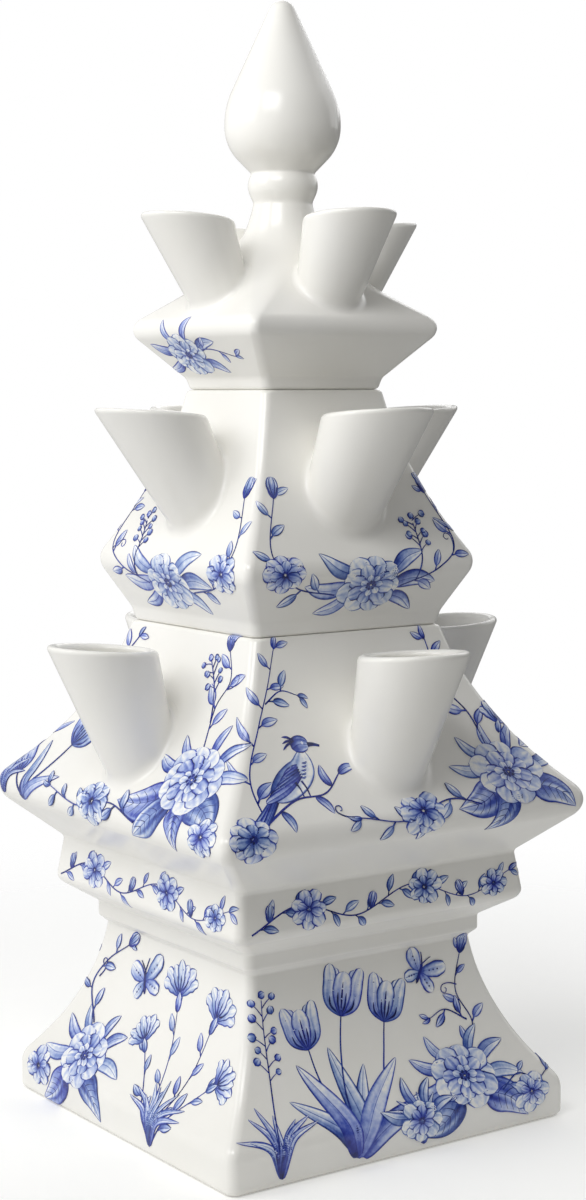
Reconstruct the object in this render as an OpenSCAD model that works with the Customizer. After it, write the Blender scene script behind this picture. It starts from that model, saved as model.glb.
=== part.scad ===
// Tulip vase in the shape of a three-storey pagoda.
// Three hollow square tiers stack on one another. Each has four leaning spouts that open into its reservoir,
// and a bulb finial closes the top. The origin is on the table under the middle of the foot, and +Z is up.

/* [Pottery] */
// Thickness of the tiers' walls
wall = 5; // [3.5:0.5:7]
// Thickness of each tier's floor
floor_t = 6; // [4:0.5:9]
// Width of the flat land round a mouth, which carries the tier above
land_w = 10; // [8:0.5:12]
// Thickness of the land round a mouth
land_t = 6; // [4:0.5:9]
// Depth of the collar that locates a tier in the mouth below it
collar_h = 6; // [4:0.5:9]
// Thickness of the collar's wall
collar_t = 4; // [3:0.5:6]
// Gap all round between a collar and its mouth
collar_clear = 1; // [0.5:0.1:2]
// How far the edge of a tier lies inside the edge of the tier that carries it
seam_step = 1; // [0.5:0.1:2]
// Radius of the worn edges that meet at a seam
seam_r = 1.8; // [1:0.1:2.5]

/* [Base tier] */
// Height of the base tier
base_h = 195; // [185:1:215]
// Width of the foot
foot_w = 158.8; // [150:0.2:180]
// Height of the upright band round the foot
band_h = 14.5; // [10:0.5:20]
// Rounding of the band's upper edge
band_r = 6; // [2:0.5:9]
// Width of the rim that the foot stands on
foot_rim_w = 10; // [8:0.5:14]
// Depth of the recess under the foot
foot_recess = 3; // [2:0.5:5]
// Height of the waist above the table
waist_z = 71.5; // [66:0.5:74]
// Width of the waist
waist_w = 106; // [98:0.5:114]
// How far the turning point of the foot's sweep lies outside the waist
sweep_out = 4.8; // [3:0.2:7]
// How far the turning point of the foot's sweep lies below the waist
sweep_drop = 28.5; // [24:0.5:33]
// Radius of the foot's sweep
sweep_r = 103; // [60:1:130]
// How far the sill over the waist stands out
sill_out = 2.8; // [1.5:0.1:4]
// Height of the sill
sill_h = 8.7; // [7:0.1:10]
// Rounding of the sill's lower corners
sill_r = 1.2; // [0.6:0.1:1.8]
// Height of the ledge's lower edge above the table
ledge_z = 88.3; // [86:0.5:93]
// Width of the ledge at its lower edge
ledge_w = 136.6; // [128:0.2:146]
// Rounding of the ledge's lower edge
ledge_r = 3.5; // [1.5:0.1:5]
// Height of the groove under the eaves
groove_z = 106.3; // [101:0.5:111]
// Width across the groove under the eaves
groove_w = 131.4; // [124:0.2:140]
// Rounding in the groove
groove_r = 2.5; // [1:0.1:4]
// Height of the base tier's eaves above the table
base_eaves_z = 126.5; // [121:0.5:133]
// Width of the base tier's eaves, at the point before rounding
base_eaves_w = 176.8; // [166:0.2:190]
// Rounding of the base tier's eaves
base_eaves_r = 7.3; // [4:0.1:9]
// Height of the turning point of the base tier's roof
base_roof_z = 160; // [153:0.5:167]
// Width at the turning point of the base tier's roof
base_roof_w = 112.4; // [106:0.2:118]
// Radius of the base tier's hollow roof
base_roof_r = 130; // [80:1:160]
// Width of the base tier's top
base_top_w = 89; // [84:0.2:96]
// Rounding of the base tier's upright corners
base_corner_r = 3.8; // [2.5:0.1:7]

/* [Middle tier] */
// Height of the middle tier
middle_h = 91.5; // [86:0.5:100]
// Height of the short plinth
middle_plinth_h = 5.5; // [4:0.5:8]
// How far the plinth flares
middle_plinth_out = 1.4; // [0.5:0.1:3]
// Rounding between the plinth and the underside of the eaves
middle_plinth_r = 8; // [4:0.5:12]
// Height of the eaves above the tier's underside
middle_eaves_z = 25; // [21:0.5:29]
// Width of the eaves, at the point before rounding
middle_eaves_w = 110.2; // [104:0.2:120]
// Rounding of the eaves
middle_eaves_r = 9; // [5:0.5:11]
// Height of the roof's turning point above the tier's underside
middle_roof_z = 57.5; // [52:0.5:62]
// Width at the roof's turning point
middle_roof_w = 72; // [69:0.2:77]
// Radius of the hollow roof
middle_roof_r = 180; // [100:1:220]
// Width of the middle tier's top
middle_top_w = 56.6; // [54:0.2:62]
// Rounding of the upright corners
middle_corner_r = 3.5; // [2.5:0.1:7]

/* [Top tier] */
// Height of the top tier up to the top of its neck
top_h = 71; // [68:0.5:80]
// Height of the short plinth
top_plinth_h = 4.5; // [3:0.5:6]
// How far the plinth flares
top_plinth_out = 1.2; // [0.5:0.1:3]
// Rounding between the plinth and the underside of the eaves
top_plinth_r = 5; // [2:0.5:8]
// Height of the eaves above the tier's underside
top_eaves_z = 24.2; // [20:0.2:28]
// Width of the eaves, at the point before rounding
top_eaves_w = 92.4; // [86:0.2:100]
// Rounding of the eaves
top_eaves_r = 6; // [4:0.5:8]
// Height of the roof's turning point above the tier's underside
top_roof_z = 48.8; // [45:0.2:52]
// Width at the roof's turning point
top_roof_w = 34.4; // [32:0.2:38]
// Radius of the hollow roof
top_roof_r = 70; // [45:1:90]
// Radius of the round neck
neck_r = 11.7; // [10.5:0.1:13]
// Radius of the hole down the neck
neck_bore_r = 7.5; // [5:0.1:8.5]
// Rounding of the upright corners, below the part of the roof that turns round
top_corner_r = 3.2; // [2.5:0.1:6]

/* [Finial] */
// Height of the finial above the neck
finial_h = 78.5; // [70:0.5:90]
// Height of the bead
bead_h = 13; // [10:0.5:16]
// How far the bead stands out of the neck
bead_out = 1.8; // [1:0.1:3]
// Half angle of the bulb's point
point_angle = 25.3; // [24:0.1:28]
// Width of the bulb, before rounding
bulb_w = 45.2; // [42:0.2:48]
// Height at which the bulb's lower flank would meet its widest part, before rounding
bulb_z = 23.1; // [21:0.1:25]
// Rounding under the bulb's widest part
bulb_low_r = 18; // [12:0.5:22]
// Rounding over the bulb's widest part
bulb_high_r = 32; // [24:0.5:40]
// Rounding of the tip
tip_r = 5.5; // [3:0.1:7]

/* [Spouts] */
// Thickness of a spout's wall
spout_wall = 4; // [2.6:0.2:5]
// Slope of a mouth, its outer lip being the higher
mouth_tilt = 4.2; // [0:0.2:8]
// Radius of a base spout's mouth
base_mouth_r = 20.7; // [19:0.1:23]
// How far the middle of a base spout's mouth lies outside the point of the eaves, or inside it if negative
base_mouth_out = -5.1; // [-11:0.1:-2]
// How far a base spout's mouth lies below the top of its tier
base_mouth_drop = 4.5; // [2:0.1:9]
// How far a base spout leans out for each millimetre of height
base_lean = 0.36; // [0.3:0.01:0.5]
// How far a base spout's radius grows for each millimetre of height
base_flare = 0.13; // [0.1:0.01:0.18]
// Radius of a middle spout's mouth
middle_mouth_r = 20.8; // [18:0.1:22]
// How far the middle of a middle spout's mouth lies outside the point of the eaves
middle_mouth_out = 6.4; // [2:0.1:10]
// How far a middle spout's mouth lies below the top of its tier
middle_mouth_drop = 7.9; // [5:0.1:12]
// How far a middle spout leans out for each millimetre of height
middle_lean = 0.6; // [0.5:0.01:0.7]
// How far a middle spout's radius grows for each millimetre of height
middle_flare = 0.13; // [0.1:0.01:0.18]
// Radius of a top spout's mouth
top_mouth_r = 17.6; // [16:0.1:19]
// How far the middle of a top spout's mouth lies outside the point of the eaves, or inside it if negative
top_mouth_out = -1.9; // [-4:0.1:1]
// How far a top spout's mouth lies below the top of the neck
top_mouth_drop = 5.5; // [3:0.1:9]
// How far a top spout leans out for each millimetre of height
top_lean = 0.465; // [0.4:0.005:0.55]
// How far a top spout's radius grows for each millimetre of height
top_flare = 0.163; // [0.12:0.001:0.2]

/* [Hidden] */

// Faces of the vase in order round +Z, each a quarter turn on from the one before
FACES = ["front", "right", "back", "left"];

glaze = "#f4f2ec";
round_fn = 64;
// Steps round a plan corner, the largest step of an outline's arc in degrees, and the fewest steps of an arc
corner_steps = 5;
arc_angle = 13;
least_steps = 4;
// Steps of the bead's bulge and of the round tip
bead_steps = 8;
tip_steps = 6;
// A cutting form reaches this far past the face that it cuts
over = 1;
// A small rounding, for edges that a casting never has sharp
edge_r = 1.5;
// Flat left between the corner arcs where a square turns round, so that no two points fall together
least_flat = 0.3;
// Most of a side that the arcs at its two ends may take up
side_share = 0.96;
// Reach of an outline's end inside its last edge, which makes that edge a corner to round
edge_reach = 4;

middle_z = base_h;
top_z = middle_z + middle_h;
finial_z = top_z + top_h;

base_mouth_half = base_top_w / 2 - land_w;
middle_mouth_half = middle_top_w / 2 - land_w;
middle_bottom_half = base_top_w / 2 - seam_step;
top_bottom_half = middle_top_w / 2 - seam_step;
foot_floor = foot_recess + floor_t;

// Distances of the mouths of the spouts from the vase's axis
base_mouth_d = base_eaves_w / 2 + base_mouth_out;
middle_mouth_d = middle_eaves_w / 2 + middle_mouth_out;
top_mouth_d = top_eaves_w / 2 + top_mouth_out;

// Corners of each tier's outline from its underside up, as [half width, height, rounding]

// The inside of the base tier's wall follows these two stretches, and not the sill between them
base_below = [
    [foot_w / 2, 0, edge_r],
    [foot_w / 2, band_h, band_r],
    [waist_w / 2 + sweep_out, waist_z - sweep_drop, sweep_r],
    [waist_w / 2, waist_z, sill_r]
];
base_sill = [
    [waist_w / 2 + sill_out, waist_z + sill_out, sill_r],
    [waist_w / 2 + sill_out, waist_z + sill_h, edge_r]
];
base_above = [
    [ledge_w / 2, ledge_z, ledge_r],
    [groove_w / 2, groove_z, groove_r],
    [base_eaves_w / 2, base_eaves_z, base_eaves_r],
    [base_roof_w / 2, base_roof_z, base_roof_r],
    [base_top_w / 2, base_h, seam_r]
];
base_core = concat(base_below, base_above);
base_corners = concat(base_below, base_sill, base_above);
middle_corners = [
    [middle_bottom_half, 0, seam_r],
    [middle_bottom_half + middle_plinth_out, middle_plinth_h, middle_plinth_r],
    [middle_eaves_w / 2, middle_eaves_z, middle_eaves_r],
    [middle_roof_w / 2, middle_roof_z, middle_roof_r],
    [middle_top_w / 2, middle_h, seam_r]
];
top_corners = [
    [top_bottom_half, 0, seam_r],
    [top_bottom_half + top_plinth_out, top_plinth_h, top_plinth_r],
    [top_eaves_w / 2, top_eaves_z, top_eaves_r],
    [top_roof_w / 2, top_roof_z, top_roof_r],
    [neck_r, top_h, 0]
];

// Turn about +Z that brings a piece on the front face to this face
function turn_to(face) = [for (i = [0:len(FACES) - 1]) if (FACES[i] == face) 360 * i / len(FACES)][0];

// Direction from one outline point to the next
function heading(a, b) = let (d = [b[0] - a[0], b[1] - a[1]]) d / norm(d);

// Half of the angle between the two sides that meet at corner b
function half_angle(a, b, c) = acos(heading(b, a) * heading(b, c)) / 2;

// Arc that rounds corner b between a and c and touches both sides at this distance from the corner
function rounded_corner(a, b, c, touch) =
    let (
        p = [b[0], b[1]],
        u = heading(b, a),
        v = heading(b, c),
        half = half_angle(a, b, c),
        centre = p + (u + v) / norm(u + v) * touch / cos(half),
        start = p + u * touch - centre,
        turn = sign(cross(-u, v)) * (180 - 2 * half),
        steps = max(least_steps, ceil(abs(turn) / arc_angle))
    )
    touch == 0 ? [p] : [
        for (i = [0:steps])
            let (t = turn * i / steps)
                centre + [start[0] * cos(t) - start[1] * sin(t), start[0] * sin(t) + start[1] * cos(t)]
    ];

// Outline with all its corners but the two ends rounded, where arcs that would meet on a side share it
function rounded(corners) =
    let (
        last = len(corners) - 1,
        touch = [
            for (i = [0:last])
                i == 0 || i == last
                    ? 0
                    : corners[i][2] / tan(half_angle(corners[i - 1], corners[i], corners[i + 1]))
        ],
        fit = [
            for (i = [0:last - 1])
                let (side = norm([corners[i + 1][0] - corners[i][0], corners[i + 1][1] - corners[i][1]]))
                    min(1, side_share * side / max(edge_r, touch[i] + touch[i + 1]))
        ]
    )
    [
        for (i = [0:last])
            let (reach = i == 0 || i == last ? 0 : touch[i] * min(fit[i - 1], fit[i]))
                each i == 0 || i == last
                    ? [[corners[i][0], corners[i][1]]]
                    : rounded_corner(corners[i - 1], corners[i], corners[i + 1], reach)
    ];

// Outline of a tier from the underside's middle part to the top's
function outer_outline(corners) =
    let (first = corners[0], last = corners[len(corners) - 1])
    rounded(concat(
        [[first[0] - edge_reach, first[1], 0]],
        corners,
        [[last[0] - edge_reach, last[1], 0]]
    ));

// Corners moved t towards the axis, without the two ends
function inset(corners, t) = [
    for (i = [1:len(corners) - 2])
        let (
            b = corners[i],
            u = heading(corners[i - 1], b),
            v = heading(b, corners[i + 1]),
            n = [-u[1], u[0]],
            m = [-v[1], v[0]],
            p = [b[0], b[1]] + (n + m) * t / (1 + n * m)
        )
        [p[0], p[1], cross(u, v) > 0 ? max(edge_r, b[2] - t) : b[2] + t]
];

// Half width at height z on the line through two outline corners moved t towards the axis
function inset_half_width(a, b, t, z) =
    let (u = heading(a, b)) a[0] - u[1] * t + (z - a[1] - u[0] * t) * u[0] / u[1];

// Outline of a reservoir between two heights
function cavity_outline(corners, bottom, top) =
    let (n = len(corners))
    rounded(concat(
        [[inset_half_width(corners[0], corners[1], wall, bottom), bottom, 0]],
        inset(corners, wall),
        [[inset_half_width(corners[n - 2], corners[n - 1], wall, top), top, 0]]
    ));

// Points of a square of half width w with corners of radius r
function ring(w, r, z) = [
    for (k = [0:3], i = [0:corner_steps])
        let (
            a = 90 * k + 90 * i / corner_steps,
            inner = w - r,
            mid = 90 * k + 45
        )
        [sign(cos(mid)) * inner + r * cos(a), sign(sin(mid)) * inner + r * sin(a), z]
];

// Solid between rings that follow an outline, with one corner radius for each outline point
module lofted(outline, radii) {
    n = 4 * (corner_steps + 1);
    last = len(outline) - 1;
    points = [
        for (i = [0:last])
            each ring(outline[i][0], radii[i], outline[i][1])
    ];
    sides = [
        for (i = [0:last - 1], k = [0:n - 1])
            let (j = (k + 1) % n)
                each [
                    [i * n + k, (i + 1) * n + k, (i + 1) * n + j],
                    [i * n + k, (i + 1) * n + j, i * n + j]
                ]
    ];
    bottom = [for (k = [0:n - 1]) k];
    top = [for (k = [0:n - 1]) last * n + n - 1 - k];
    polyhedron(points, concat(sides, [bottom, top]));
}

module square_lofted(outline, r) {
    lofted(outline, [for (p = outline) min(r, p[0] - least_flat)]);
}

// Square block with rounded corners
module block(half, r, bottom, top) {
    square_lofted([[half, bottom], [half, top]], r);
}

// Share of the way from square, 0, to round, 1, at height z of the top tier's roof
function roundness(z) =
    let (t = min(1, max(0, (z - top_eaves_z) / (top_h - top_mouth_drop - top_eaves_z))))
    t * t * (3 - 2 * t);

module top_lofted(outline) {
    lofted(outline, [
        for (p = outline)
            let (round_r = p[0] - least_flat)
                min(round_r, top_corner_r + max(0, round_r - top_corner_r) * roundness(p[1]))
    ]);
}

// Leaning cone of a front spout, from the level of the eaves to past its mouth
module leaning_cone(r, d, mouth_z, root_z, lean, flare) {
    depth = mouth_z - root_z;
    rise = r * tan(mouth_tilt) * 2 + over;
    multmatrix([
        [1, 0, 0, 0],
        [0, 1, -lean, -d],
        [0, 0, 1, mouth_z],
        [0, 0, 0, 1]
    ])
        translate([0, 0, -depth])
            cylinder(h = depth + rise, r1 = r - flare * depth, r2 = r + flare * rise, $fn = round_fn);
}

// Half of a tier's section, swept along a face, which cuts a spout's root to the face that it sits on
module face_prism(outline, half_length) {
    axis_side = [[0, outline[len(outline) - 1][1]], [0, outline[0][1]]];
    rotate([90, 0, -90])
        linear_extrude(2 * half_length, center = true)
            polygon(concat(outline, axis_side));
}

// Spout on the front face of a tier, with its mouth cut and its root cut to the tier
module spout(outline, r, d, mouth_z, root_z, lean, flare) {
    difference() {
        leaning_cone(r, d, mouth_z, root_z, lean, flare);
        leaning_cone(r - spout_wall, d, mouth_z, root_z - over, lean, flare);
        face_prism(outline, 2 * r);
        translate([0, -d, mouth_z])
            rotate([-mouth_tilt, 0, 0])
                translate([-2 * r, -2 * r, 0])
                    cube([4 * r, 4 * r, 2 * r]);
    }
}

// Holes through which the four spouts of a tier open into its reservoir
module spout_bores(r, d, mouth_z, root_z, lean, flare) {
    for (face = FACES)
        rotate([0, 0, turn_to(face)])
            leaning_cone(r - spout_wall, d, mouth_z, root_z, lean, flare);
}

// Collar under a tier, open below, that drops into the mouth of the tier beneath
module collar(mouth_half, r) {
    half = mouth_half - collar_clear;
    difference() {
        block(half, r, -collar_h, floor_t / 2);
        block(half - collar_t, r, -collar_h - over, 0);
    }
}

module base_bores() {
    spout_bores(base_mouth_r, base_mouth_d, base_h - base_mouth_drop, base_eaves_z, base_lean, base_flare);
}

module base_tier() {
    color(glaze)
        difference() {
            square_lofted(outer_outline(base_corners), base_corner_r);
            square_lofted(cavity_outline(base_core, foot_floor, base_h - land_t), base_corner_r);
            block(base_mouth_half, base_corner_r, base_h - land_t - over, base_h + over);
            block(foot_w / 2 - foot_rim_w, base_corner_r, -over, foot_recess);
            base_bores();
        }
}

module base_spout(face) {
    color(glaze)
        rotate([0, 0, turn_to(face)])
            spout(outer_outline(base_corners), base_mouth_r, base_mouth_d, base_h - base_mouth_drop,
                base_eaves_z, base_lean, base_flare);
}

module middle_tier() {
    mouth_z = middle_h - middle_mouth_drop;
    color(glaze)
        translate([0, 0, middle_z]) {
            difference() {
                square_lofted(outer_outline(middle_corners), middle_corner_r);
                square_lofted(cavity_outline(middle_corners, floor_t, middle_h - land_t), middle_corner_r);
                block(middle_mouth_half, middle_corner_r, middle_h - land_t - over, middle_h + over);
                spout_bores(middle_mouth_r, middle_mouth_d, mouth_z, middle_eaves_z, middle_lean,
                    middle_flare);
            }
            collar(base_mouth_half, base_corner_r);
        }
}

module middle_spout(face) {
    color(glaze)
        translate([0, 0, middle_z])
            rotate([0, 0, turn_to(face)])
                spout(outer_outline(middle_corners), middle_mouth_r, middle_mouth_d,
                    middle_h - middle_mouth_drop, middle_eaves_z, middle_lean, middle_flare);
}

module top_tier() {
    mouth_z = top_h - top_mouth_drop;
    color(glaze)
        translate([0, 0, top_z]) {
            difference() {
                top_lofted(outer_outline(top_corners));
                top_lofted(cavity_outline(top_corners, floor_t, top_h - land_t));
                translate([0, 0, top_h - land_t - over])
                    cylinder(h = land_t + 2 * over, r = neck_bore_r, $fn = round_fn);
                spout_bores(top_mouth_r, top_mouth_d, mouth_z, top_eaves_z, top_lean, top_flare);
            }
            collar(middle_mouth_half, middle_corner_r);
        }
}

module top_spout(face) {
    color(glaze)
        translate([0, 0, top_z])
            rotate([0, 0, turn_to(face)])
                spout(outer_outline(top_corners), top_mouth_r, top_mouth_d, top_h - top_mouth_drop,
                    top_eaves_z, top_lean, top_flare);
}

// Height of the sharp point above the neck, if the tip weren't rounded
point_z = finial_h + tip_r * (1 / sin(point_angle) - 1);
bulb_corners = [
    [neck_r, bead_h, 0],
    [bulb_w / 2, bulb_z, bulb_low_r],
    [bulb_w / 2, point_z - bulb_w / 2 / tan(point_angle), bulb_high_r],
    [0, point_z, 0]
];

// Bead's bulge between two heights
function bead_outline() =
    let (
        r = (pow(bead_h / 2, 2) + pow(bead_out, 2)) / (2 * bead_out),
        span = asin(bead_h / 2 / r)
    )
    [
        for (i = [0:bead_steps])
            let (a = span * (2 * i / bead_steps - 1))
                [neck_r + bead_out - r + r * cos(a), bead_h / 2 + r * sin(a)]
    ];

// Round tip from its tangent with the bulb's flank to the axis
function tip_outline() = [
    for (i = [0:tip_steps])
        let (a = point_angle + (90 - point_angle) * i / tip_steps)
            [i == tip_steps ? 0 : tip_r * cos(a), finial_h - tip_r + tip_r * sin(a)]
];

module finial() {
    flanks = rounded(bulb_corners);
    inner = inset(bulb_corners, wall);
    way = heading(bulb_corners[0], bulb_corners[1]);
    bore_top = inner[0][1] - (inner[0][0] - neck_bore_r) * way[1] / way[0];
    hollow = rounded(concat(
        [[neck_bore_r, bore_top, 0]],
        inner,
        [[0, point_z - wall / sin(point_angle), 0]]
    ));
    color(glaze)
        translate([0, 0, finial_z])
            rotate_extrude($fn = round_fn)
                difference() {
                    polygon(concat(
                        [[0, 0]],
                        bead_outline(),
                        [for (i = [1:len(flanks) - 2]) flanks[i]],
                        tip_outline()
                    ));
                    polygon(concat([[0, -over], [neck_bore_r, -over]], hollow));
                }
}

base_tier();
base_spout("front");  // base_spout_front
base_spout("right");  // base_spout_right
base_spout("back");  // base_spout_back
base_spout("left");  // base_spout_left
middle_tier();
middle_spout("front");  // middle_spout_front
middle_spout("right");  // middle_spout_right
middle_spout("back");  // middle_spout_back
middle_spout("left");  // middle_spout_left
top_tier();
top_spout("front");  // top_spout_front
top_spout("right");  // top_spout_right
top_spout("back");  // top_spout_back
top_spout("left");  // top_spout_left
finial();
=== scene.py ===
import math
import random

import bpy
import numpy as np
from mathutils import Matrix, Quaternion, Vector, noise


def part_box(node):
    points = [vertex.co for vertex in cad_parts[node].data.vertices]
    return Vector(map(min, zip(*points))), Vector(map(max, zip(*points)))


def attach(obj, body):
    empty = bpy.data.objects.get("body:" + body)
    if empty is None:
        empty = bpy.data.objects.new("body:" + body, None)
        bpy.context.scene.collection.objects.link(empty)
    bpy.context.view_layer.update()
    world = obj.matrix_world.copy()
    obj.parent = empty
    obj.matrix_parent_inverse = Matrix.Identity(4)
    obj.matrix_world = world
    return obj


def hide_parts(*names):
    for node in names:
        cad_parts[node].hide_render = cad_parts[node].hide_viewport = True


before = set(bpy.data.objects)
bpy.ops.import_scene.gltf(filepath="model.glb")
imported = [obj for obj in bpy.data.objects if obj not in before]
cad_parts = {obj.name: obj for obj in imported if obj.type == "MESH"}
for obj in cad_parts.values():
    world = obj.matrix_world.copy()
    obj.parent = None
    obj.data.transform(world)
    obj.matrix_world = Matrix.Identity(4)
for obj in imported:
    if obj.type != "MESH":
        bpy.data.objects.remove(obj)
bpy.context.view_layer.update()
mm = 0.001  # the scene is in metres, the vase's sizes below are in millimetres
print("frame loaded:", len(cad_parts), "nodes")


def linear(hexColour):
    parts = [int(hexColour[i:i + 2], 16) / 255 for i in (1, 3, 5)]
    return tuple(c / 12.92 if c <= 0.04045 else ((c + 0.055) / 1.055) ** 2.4 for c in parts) + (1.0,)


def setInputs(tree, node, inputs):
    # a socket is linked, a node is linked from its first live output, and anything else is a plain value
    for key, value in inputs.items():
        if isinstance(value, bpy.types.Node):
            value = next(socket for socket in value.outputs if socket.enabled)
        if isinstance(value, bpy.types.NodeSocket):
            tree.links.new(value, node.inputs[key])
        else:
            node.inputs[key].default_value = value


def addNode(tree, kind, inputs=None, **settings):
    node = tree.nodes.new(kind)
    for key, value in settings.items():
        setattr(node, key, value)
    setInputs(tree, node, inputs or {})
    return node


def newMaterial(name):
    material = bpy.data.materials.new(name)
    material.use_nodes = True
    tree = material.node_tree
    return material, tree, tree.nodes["Principled BSDF"]


# Opaque white glaze on slip-cast earthenware: a soft white body under a clear glassy skin, so the colour
# barely moves while the highlights ripple a little where the glaze ran before it set
glazeLook = {
    "thick": "#f6f5f1",
    "thin": "#efede6",
    "pooling": 34.0,  # millimetres from one thick place to the next
    "ripple": 7.0,
    "rippleHeight": 0.012,
    "roughness": (0.17, 0.26),
    "ior": 1.52,
}


def whiteGlaze():
    look = glazeLook
    material, tree, shader = newMaterial("whiteGlazedEarthenware")
    place = addNode(tree, "ShaderNodeTexCoord").outputs["Object"]
    pooling = addNode(tree, "ShaderNodeTexNoise", {
        "Vector": place, "Scale": 1 / (look["pooling"] * mm), "Detail": 3.0, "Roughness": 0.45})
    colour = addNode(tree, "ShaderNodeMix", {
        "Factor": pooling, "A": linear(look["thin"]), "B": linear(look["thick"])}, data_type="RGBA")
    sheen = addNode(tree, "ShaderNodeMapRange", {
        "Value": pooling, "From Min": 0.3, "From Max": 0.7,
        "To Min": look["roughness"][0], "To Max": look["roughness"][1]})
    ripple = addNode(tree, "ShaderNodeTexNoise", {
        "Vector": place, "Scale": 1 / (look["ripple"] * mm), "Detail": 1.0})
    bump = addNode(tree, "ShaderNodeBump", {
        "Height": ripple, "Distance": look["rippleHeight"] * mm, "Strength": 0.6})
    setInputs(tree, shader, {"Base Color": colour, "Roughness": sheen, "Normal": bump, "IOR": look["ior"]})
    return material


# Bisque, the fired body where the foot was wiped clean of glaze: chalky, faintly warm, with fine grit
bisqueLook = {"pale": "#e6dfd2", "dark": "#d6ccbb", "grit": 0.9, "gritHeight": 0.05, "roughness": 0.8}


def bareBisque():
    look = bisqueLook
    material, tree, shader = newMaterial("bareBisque")
    place = addNode(tree, "ShaderNodeTexCoord").outputs["Object"]
    grit = addNode(tree, "ShaderNodeTexNoise", {
        "Vector": place, "Scale": 1 / (look["grit"] * mm), "Detail": 4.0})
    colour = addNode(tree, "ShaderNodeMix", {
        "Factor": grit, "A": linear(look["dark"]), "B": linear(look["pale"])}, data_type="RGBA")
    bump = addNode(tree, "ShaderNodeBump", {
        "Height": grit, "Distance": look["gritHeight"] * mm, "Strength": 0.5})
    setInputs(tree, shader, {"Base Color": colour, "Normal": bump, "Roughness": look["roughness"]})
    return material


# Cobalt painted under the glaze: thin washes let the white through, strokes that overlap go almost navy,
# and the wet colour pools and thins within a stroke. The map's u is the strength of the wash, and v leans
# it from violet to a greyer blue.
cobaltLook = {
    "violet": ("#f5f5f3", "#cfd7f0", "#93a2df", "#3f4eb8", "#1b2293", "#0c1050"),
    "grey": ("#f4f5f4", "#c9d5e9", "#89a2cf", "#3e5da5", "#1c3579", "#0c1843"),
    "stops": (0.0, 0.18, 0.4, 0.64, 0.84, 1.0),
    "pools": 2.6,  # millimetres from one pool to the next
    "poolDepth": 0.5,
    "roughness": 0.2,
    "map": "OFBake",
}


def cobaltPainting():
    look = cobaltLook
    material, tree, shader = newMaterial("cobaltUnderGlaze")
    parts = addNode(tree, "ShaderNodeSeparateXYZ", {
        "Vector": addNode(tree, "ShaderNodeUVMap", uv_map=look["map"])}).outputs
    pools = addNode(tree, "ShaderNodeTexNoise", {
        "Vector": addNode(tree, "ShaderNodeTexCoord").outputs["Object"],
        "Scale": 1 / (look["pools"] * mm), "Detail": 3.0, "Roughness": 0.6})
    deeper = addNode(tree, "ShaderNodeMapRange", {
        "Value": pools, "To Min": -look["poolDepth"] / 2, "To Max": look["poolDepth"] / 2}, clamp=False)
    wash = addNode(tree, "ShaderNodeMath", {0: parts["X"], 1: deeper}, operation="ADD", use_clamp=True)
    ramps = []
    for shades in (look["violet"], look["grey"]):
        ramp = addNode(tree, "ShaderNodeValToRGB", {"Fac": wash})
        stops = ramp.color_ramp.elements
        for at in look["stops"][1:-1]:
            stops.new(at)
        for stop, shade in zip(stops, shades):
            stop.color = linear(shade)
        ramps.append(ramp)
    colour = addNode(tree, "ShaderNodeMix", {
        "Factor": parts["Y"], "A": ramps[0], "B": ramps[1]}, data_type="RGBA")
    setInputs(tree, shader, {"Base Color": colour, "Roughness": look["roughness"], "IOR": glazeLook["ior"]})
    return material


glaze = whiteGlaze()
bisque = bareBisque()
cobalt = cobaltPainting()
print("materials made")


# Meshes: rings of points, read and settled

def addObject(name, data):
    thing = bpy.data.objects.new(name, data)
    bpy.context.scene.collection.objects.link(thing)
    return thing


def newPiece(name, points, faces, material):
    mesh = bpy.data.meshes.new(name)
    mesh.from_pydata((np.asarray(points) * mm).tolist(), [], faces)
    mesh.materials.append(material)
    mesh.shade_smooth()
    mesh.update()
    return addObject(name, mesh)


def settle(piece, *modifiers):
    # turns the piece and its modifiers into a plain mesh
    for kind, settings in modifiers:
        modifier = piece.modifiers.new(kind.title(), kind)
        for key, value in settings.items():
            setattr(modifier, key, value)
    graph = bpy.context.evaluated_depsgraph_get()
    mesh = bpy.data.meshes.new_from_object(piece.evaluated_get(graph))
    piece.modifiers.clear()
    old = piece.data
    piece.data = mesh
    mesh.name = piece.name
    bpy.data.meshes.remove(old)
    return piece


def finish(piece, body, slotName, *nodes):
    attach(piece, body)
    if nodes:
        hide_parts(*nodes)


def readAll(items, label, kind=np.float32, width=1):
    values = np.empty(len(items) * width, kind)
    items.foreach_get(label, values)
    return values if width == 1 else values.reshape(-1, width)


def ringFaces(count, around, closed=False):
    # quads between rings of points, where the last ring may meet the first
    following = [*range(1, count), 0] if closed else range(1, count)
    return [[i * around + k, i * around + (k + 1) % around, j * around + (k + 1) % around, j * around + k]
            for i, j in enumerate(following) for k in range(around)]


def lids(count, around):
    return [[around - 1 - k for k in range(around)], [(count - 1) * around + k for k in range(around)]]


def sharpen(piece, first, last):
    for edge in piece.data.edges:
        edge.use_edge_sharp = all(first <= v < last for v in edge.vertices)


normalWeight = 60
quarterTurns = [np.array([[c, s, 0], [-s, c, 0], [0, 0, 1]], float)
                for c, s in ((1, 0), (0, 1), (-1, 0), (0, -1))]
faceNames = ("front", "right", "back", "left")


# Outlines: corners are (half width, height, rounding), as the frame's sections are
outlineMake = {"longest": 4.0, "arcStep": 6.0, "mostOfSide": 0.96, "leastRounding": 1.5}
tiny = 1e-6


def unit(v):
    return v / np.linalg.norm(v)


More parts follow.
